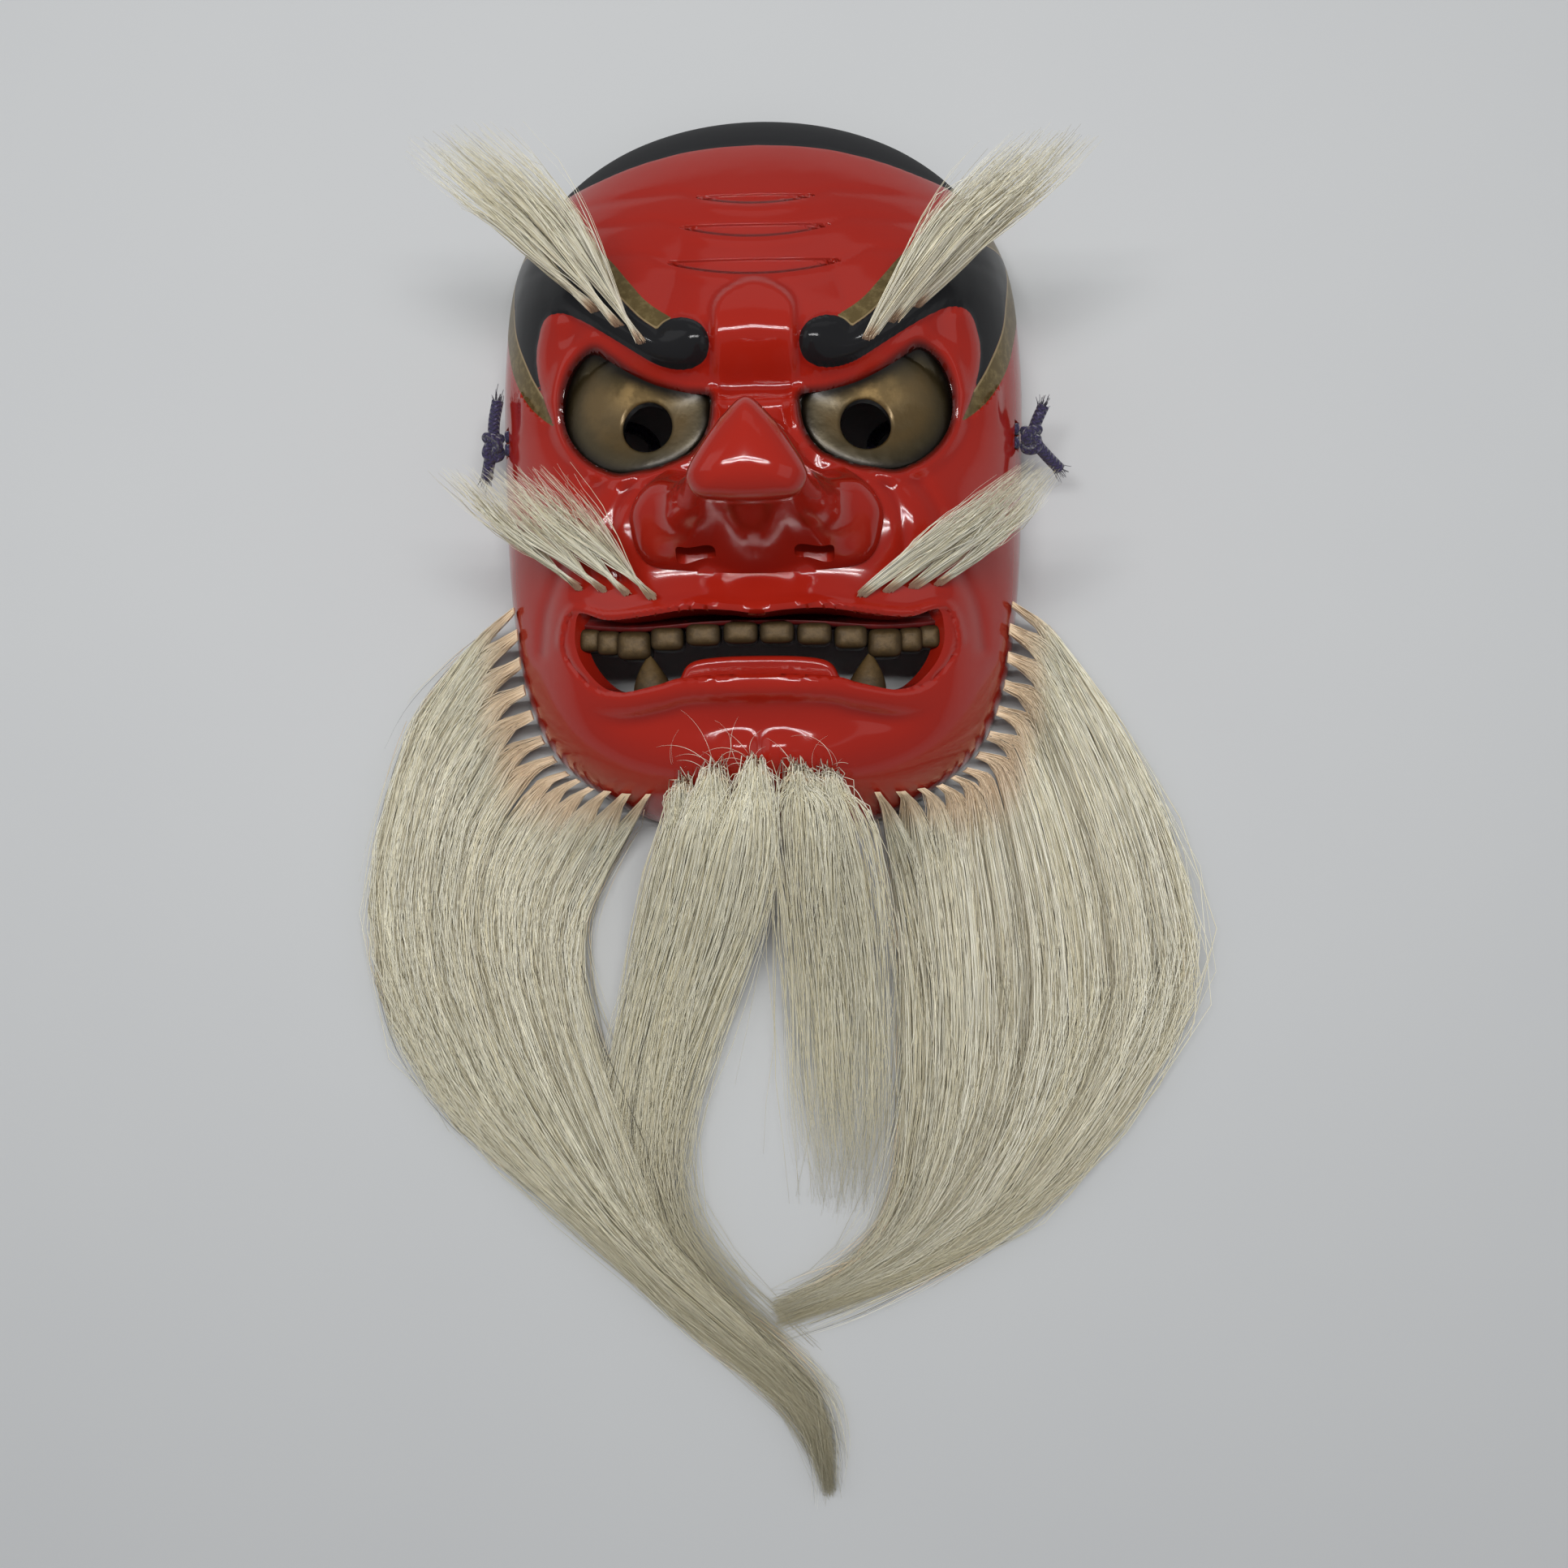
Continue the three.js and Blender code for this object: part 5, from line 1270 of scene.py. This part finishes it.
def beard_tuft(side, lane, hairs):
    """One tuft: out of its hole, over the rim, and down its own lane of the sweep on the table."""
    sign = -1 if side == "left" else 1
    outside, inside = sweep_edges(side)
    roots = np.array(BEARD_ROOTS) * (sign, 1, 1)
    lanes = len(roots)
    across, up, group, light = wisps(hairs, hairs // 8, 0.3)
    outer = lane < OUTER_TUFTS
    ends = 1.03 - 0.62 * chance.random(hairs)**1.1
    shares = stations(hairs, BEARD_STATIONS, ends, 1.5)
    middle = (lane + 0.5) / lanes
    opened = 0.17 + 0.83 * ramp(0, COMBED, shares)
    crossing = chance.normal(0, 0.3, (hairs, 1)) * shares
    lane_at = middle + 0.85 / lanes * (across[:, None] * opened + crossing)
    lane_at = np.clip(lane_at, -0.03, PARTING if outer else 0.99)
    lane_at = lane_at if outer else np.maximum(lane_at, PARTING + PARTING_WIDTH)
    lane_at = 0.5 + (lane_at - 0.5) * (1 - TAIL_DRAW[side] * ramp(0.7, 1, shares))
    astray = np.where(chance.random(hairs) < ASTRAY, chance.normal(0, 0.16, hairs), 0)
    lane_at = lane_at + astray[:, None] * ramp(0.1, 0.9, shares)
    lane_at = np.maximum(lane_at, -0.08 - 0.03 * np.abs(across)[:, None])
    root_at = along(roots, (lane_at * lanes - 0.5) / (lanes - 1))
    start = between(outside, inside, np.zeros(1), lane_at)
    shift = (root_at - start) * (1, 1, 0) * ramp(BEARD_TURN, 0, shares)[..., None]
    paths = between(outside, inside, shares, lane_at) + shift
    leaving = math.sin(math.pi * middle)**0.7 * shares / COMBED_AT * np.exp(1 - shares / COMBED_AT)
    paths[..., 0] += sign * COMBED_OUT * leaving
    paths[..., 1] += COMBED_UP * leaving
    fall = (1 - np.minimum(1, shares / BEARD_FALL))**1.5
    full = ramp(0, 0.3, shares) * (1 - 0.6 * ramp(0.65, 1, shares))
    depth = 2 * ROOT_RADIUS + (BEARD_DEPTH - 2 * ROOT_RADIUS) * full
    bottom = ground_under(paths)
    over = 5 * outer * ramp(0.3, 0.5, lane_at) * ramp(0.03, 0.2, shares) * ramp(0.95, 0.6, shares)
    centre = np.maximum(root_at[..., 2] * fall, bottom + depth / 2)
    paths[..., 2] = centre + depth * 0.45 * up[:, None] + over
    paths += waves(shares, 1.0, 2, group) * ramp(0.06, 0.5, shares)[..., None]
    wild = np.where(chance.random(hairs) < 0.04, 5.0, 1.0)[:, None, None]
    paths += wild * waves(shares, 0.8, 2) * ramp(0.03, 0.6, shares)[..., None]
    paths[..., 2] = np.maximum(paths[..., 2], bottom)
    return hair_tuft(paths, BEARD_HAIR_RADIUS, light)


def loose_hairs(side, hairs):
    """Single long hairs that have come loose along both edges of a sweep and lie beside it."""
    outside, inside = sweep_edges(side)
    steps = np.linspace(0, 1, BEARD_STATIONS)
    start = chance.uniform(0.05, 0.8, (hairs, 1))
    shares = np.minimum(start + chance.uniform(0.12, 0.34, (hairs, 1)) * steps, 1)
    inner_edge = chance.random((hairs, 1)) < 0.4
    away = 0.02 + np.minimum(chance.exponential(0.05, (hairs, 1)), 0.07) * steps**1.5
    lane_at = np.where(inner_edge, 0.97 + away, 0.03 - away)
    paths = between(outside, inside, shares, lane_at)
    paths += waves(shares, 2.2, 2.2) * (1, 1, 0)
    paths[..., 2] = ground_under(paths) + chance.uniform(1, 7, (hairs, 1))
    return hair_tuft(paths, LOOSE_HAIR_RADIUS, chance.uniform(0.3, 1, hairs), 0.08)


beard_hair = hair_finish("beard_horsehair", 36, 120, 380)
for side in ("left", "right"):
    layers = {"outer": range(OUTER_TUFTS), "inner": range(OUTER_TUFTS, len(BEARD_ROOTS))}
    for layer, lanes in layers.items():
        tufts = [beard_tuft(side, lane, BEARD_HAIRS) for lane in lanes]
        tufts.append(loose_hairs(side, LOOSE_HAIRS))
        nodes = [f"beard_tuft_{side}_{lane + 1}" for lane in lanes]
        make_piece(make_mesh(f"beard_{layer}_{side}", *joined(tufts)), [beard_hair], nodes)

# Chin locks: five longer bunches are set in the front of the chin. Their hair springs up out of the
# holes, frizzy and unglued, then falls over the chin's edge and thins out between the two sweeps.
CHIN_STATIONS = 12
CHIN_DEPTH = 9
FLYAWAYS, FLYAWAY_RADIUS = 30, 0.07
# Each lock: how many hairs, half its width, and the line that its middle follows from its hole.
CHIN_LOCKS = [
    (340, 9.5, [
        (-27.9, 19.8, 47), (-29, 9, 45), (-34, -14, 33), (-41, -42, 16), (-47.5, -73.7, 4),
        (-53, -99.2, 0), (-55, -124, 0), (-50, -146, 0), (-37, -167, 0), (-20, -184, 0), (-3, -200, 0),
        (12, -216, 0),
    ]),
    (350, 10, [
        (-16, 24.1, 58), (-17.6, 13, 57), (-22, -9, 44), (-30.7, -37, 24), (-41, -68, 8),
        (-47, -98, 1), (-50, -124, 0), (-46, -146, 0), (-36, -165, 0), (-20, -181, 0), (-2, -197, 0),
    ]),
    (350, 10.5, [
        (-1.7, 26.2, 62), (-3, 15, 62), (-6.8, -7, 49), (-14.6, -35, 27), (-26.5, -64, 9),
        (-36, -90, 1), (-43, -113, 0), (-45, -136, 0), (-39, -153, 0), (-28, -168, 0), (-12, -184, 0),
        (4, -199, 0),
    ]),
    (270, 10.5, [
        (13.4, 23.8, 58), (14, 13, 57), (15, -11, 43), (16.5, -39, 23), (18.4, -69, 8),
        (19.7, -98, 1), (22.2, -122, 0), (25, -142, 0),
    ]),
    (290, 12, [
        (24.4, 22.3, 53), (26, 11, 52), (31, -13, 38), (35, -41, 20), (36.8, -72, 6),
        (37.3, -99.5, 0), (35.6, -124, 0), (32.2, -146, 0),
    ]),
]


def chin_lock(hairs, width, line):
    """One lock along its own line: sprung and frizzy at its root, thinning out to its end."""
    middle = even_line(line)
    across, up, group, light = wisps(hairs, hairs // 7, 0.25)
    ends = 1.03 - 0.6 * chance.random(hairs)**1.2
    shares = stations(hairs, CHIN_STATIONS, ends, 1.7)
    paths = along(middle, shares)
    opened = 0.26 + 0.74 * ramp(0, 0.2, shares)
    paths[..., 0] += width * across[:, None] * opened
    astray = np.where(chance.random(hairs) < 0.12, 1.3, 0.3) * width * chance.normal(size=hairs)
    paths[..., 0] += astray[:, None] * shares
    full = ramp(0, 0.3, shares) * (1 - 0.6 * ramp(0.6, 1, shares))
    depth = 3 + (CHIN_DEPTH - 3) * full
    bottom = ground_under(paths)
    centre = np.maximum(paths[..., 2], bottom + depth / 2)
    spring = np.minimum(chance.exponential(0.5, (hairs, 1)), 2.2) * bell(shares - 0.03, 0.03)
    paths[..., 1] += 4 * spring - 1.5 * across[:, None]**2 * ramp(0.1, 0, shares)
    paths[..., 2] = centre + depth * 0.45 * up[:, None] + 4.5 * spring - 2 * ramp(0.02, 0, shares)
    frizz = chance.normal(size=(hairs, 1, 3)) * (2.0, 1.4, 0.8)
    paths += frizz * bell(shares - 0.05, 0.05)[..., None] * ramp(0, 0.02, shares)[..., None]
    paths += waves(shares, 1.0, 2, group) * ramp(0.02, 0.5, shares)[..., None]
    wild = np.where(chance.random(hairs) < 0.08, 4.0, 1.0)[:, None, None]
    paths += wild * waves(shares, 1.1, 2.2) * ramp(0.005, 0.35, shares)[..., None]
    paths[:, 1:, 2] = np.maximum(paths[:, 1:, 2], bottom[:, 1:])
    # The chin's hairs are painted lighter all over: painted light on hair that lies on the chin's shaded
    # slope.
    return hair_tuft(paths, BEARD_HAIR_RADIUS, 0.4 + 0.6 * light, 0.01)


def flyaways(hairs, starts, headings, reach):
    """Single hairs that have sprung loose, each in one open curl that lies on what is under it."""
    steps = np.linspace(0, 1, CHIN_STATIONS)
    start = np.array(starts)[chance.integers(0, len(starts), hairs)] + chance.normal(0, 1.5, (hairs, 3))
    length = chance.uniform(*reach, (hairs, 1))
    turn = chance.uniform(0.5, 2.2, (hairs, 1)) * chance.choice([-1, 1], (hairs, 1))
    angle = chance.uniform(*headings, (hairs, 1)) + turn * steps
    stride = length / (CHIN_STATIONS - 1)
    x = start[:, :1] + np.cumsum(np.cos(angle), 1) * stride
    y = start[:, 1:2] + np.cumsum(np.sin(angle), 1) * stride
    lift = chance.uniform(1, 5, (hairs, 1)) * np.sin(np.pi * np.clip(steps * 1.2, 0, 1))
    z = np.maximum(carving_under(x, y, 96) + TABLE_GAP + lift, start[:, 2:] * (1 - steps))
    return hair_tuft(np.stack([x, y, z], -1), FLYAWAY_RADIUS, np.full(hairs, 0.85), 0)


chin_hair = hair_finish("chin_horsehair", 3, 90, 260)
locks = [chin_lock(*lock) for lock in CHIN_LOCKS]
chin_roots = [line[0] for _, _, line in CHIN_LOCKS]
locks.append(flyaways(FLYAWAYS, chin_roots, headings=(0.5, 2.6), reach=(5, 24)))
nodes = [f"chin_lock_{i + 1}" for i in range(len(CHIN_LOCKS))]
make_piece(make_mesh("chin_hair", *joined(locks)), [chin_hair], nodes)

# Room: a plain pale table top, daylight from all round, and a pair of ceiling strips over the forehead.
TABLE_PALE = (0.555, 0.565, 0.565, 1)
TABLE_SHADE = (0.535, 0.545, 0.55, 1)
TABLE_SIZE, TABLE_BELOW = 8, 0.0002
DAYLIGHT, DAYLIGHT_STRENGTH = (0.86, 0.88, 0.92, 1), 0.30
STRIP_SIZE, STRIP_POWER = (1.1, 0.022), 6.8


def table_finish():
    finish = Finish("pale_table", roughness=0.6)
    finish.link(base_color=finish.blend(finish.noise(9, 3), TABLE_PALE, TABLE_SHADE))
    return finish


bpy.ops.mesh.primitive_plane_add(size=TABLE_SIZE, location=(0, 0, -TABLE_BELOW))
table = bpy.context.object
table.name = "table"
table.data.materials.append(table_finish().material)

world = bpy.data.worlds.new("daylight")
world.use_nodes = True
world.node_tree.nodes["Background"].inputs["Color"].default_value = DAYLIGHT
world.node_tree.nodes["Background"].inputs["Strength"].default_value = DAYLIGHT_STRENGTH
scene.world = world


def add_light(name, at, aim, size, power):
    light = bpy.data.lights.new(name, "AREA")
    light.shape = "RECTANGLE"
    light.size, light.size_y = size
    light.energy = power
    lamp = bpy.data.objects.new(name, light)
    scene.collection.objects.link(lamp)
    lamp.location = at
    lamp.rotation_mode = "QUATERNION"
    lamp.rotation_quaternion = (Vector(aim) - Vector(at)).to_track_quat("-Z", "Y")


add_light("ceiling_strip_near", (-0.05, 0.20, 1.35), (-0.05, 0.20, 0), STRIP_SIZE, STRIP_POWER)
add_light("ceiling_strip_far", (-0.05, 0.33, 1.35), (-0.05, 0.33, 0), STRIP_SIZE, STRIP_POWER)
add_light("window_left", (-2.0, 0.7, 1.5), (0, 0, 0), (1.8, 1.4), 5)
add_light("window_far", (0.3, 2.3, 1.4), (0, 0, 0), (2.2, 1.0), 2)
add_light("window_right", (2.0, -0.3, 1.5), (0, 0, 0), (1.6, 1.4), 3.5)
scene.view_settings.view_transform = "Standard"
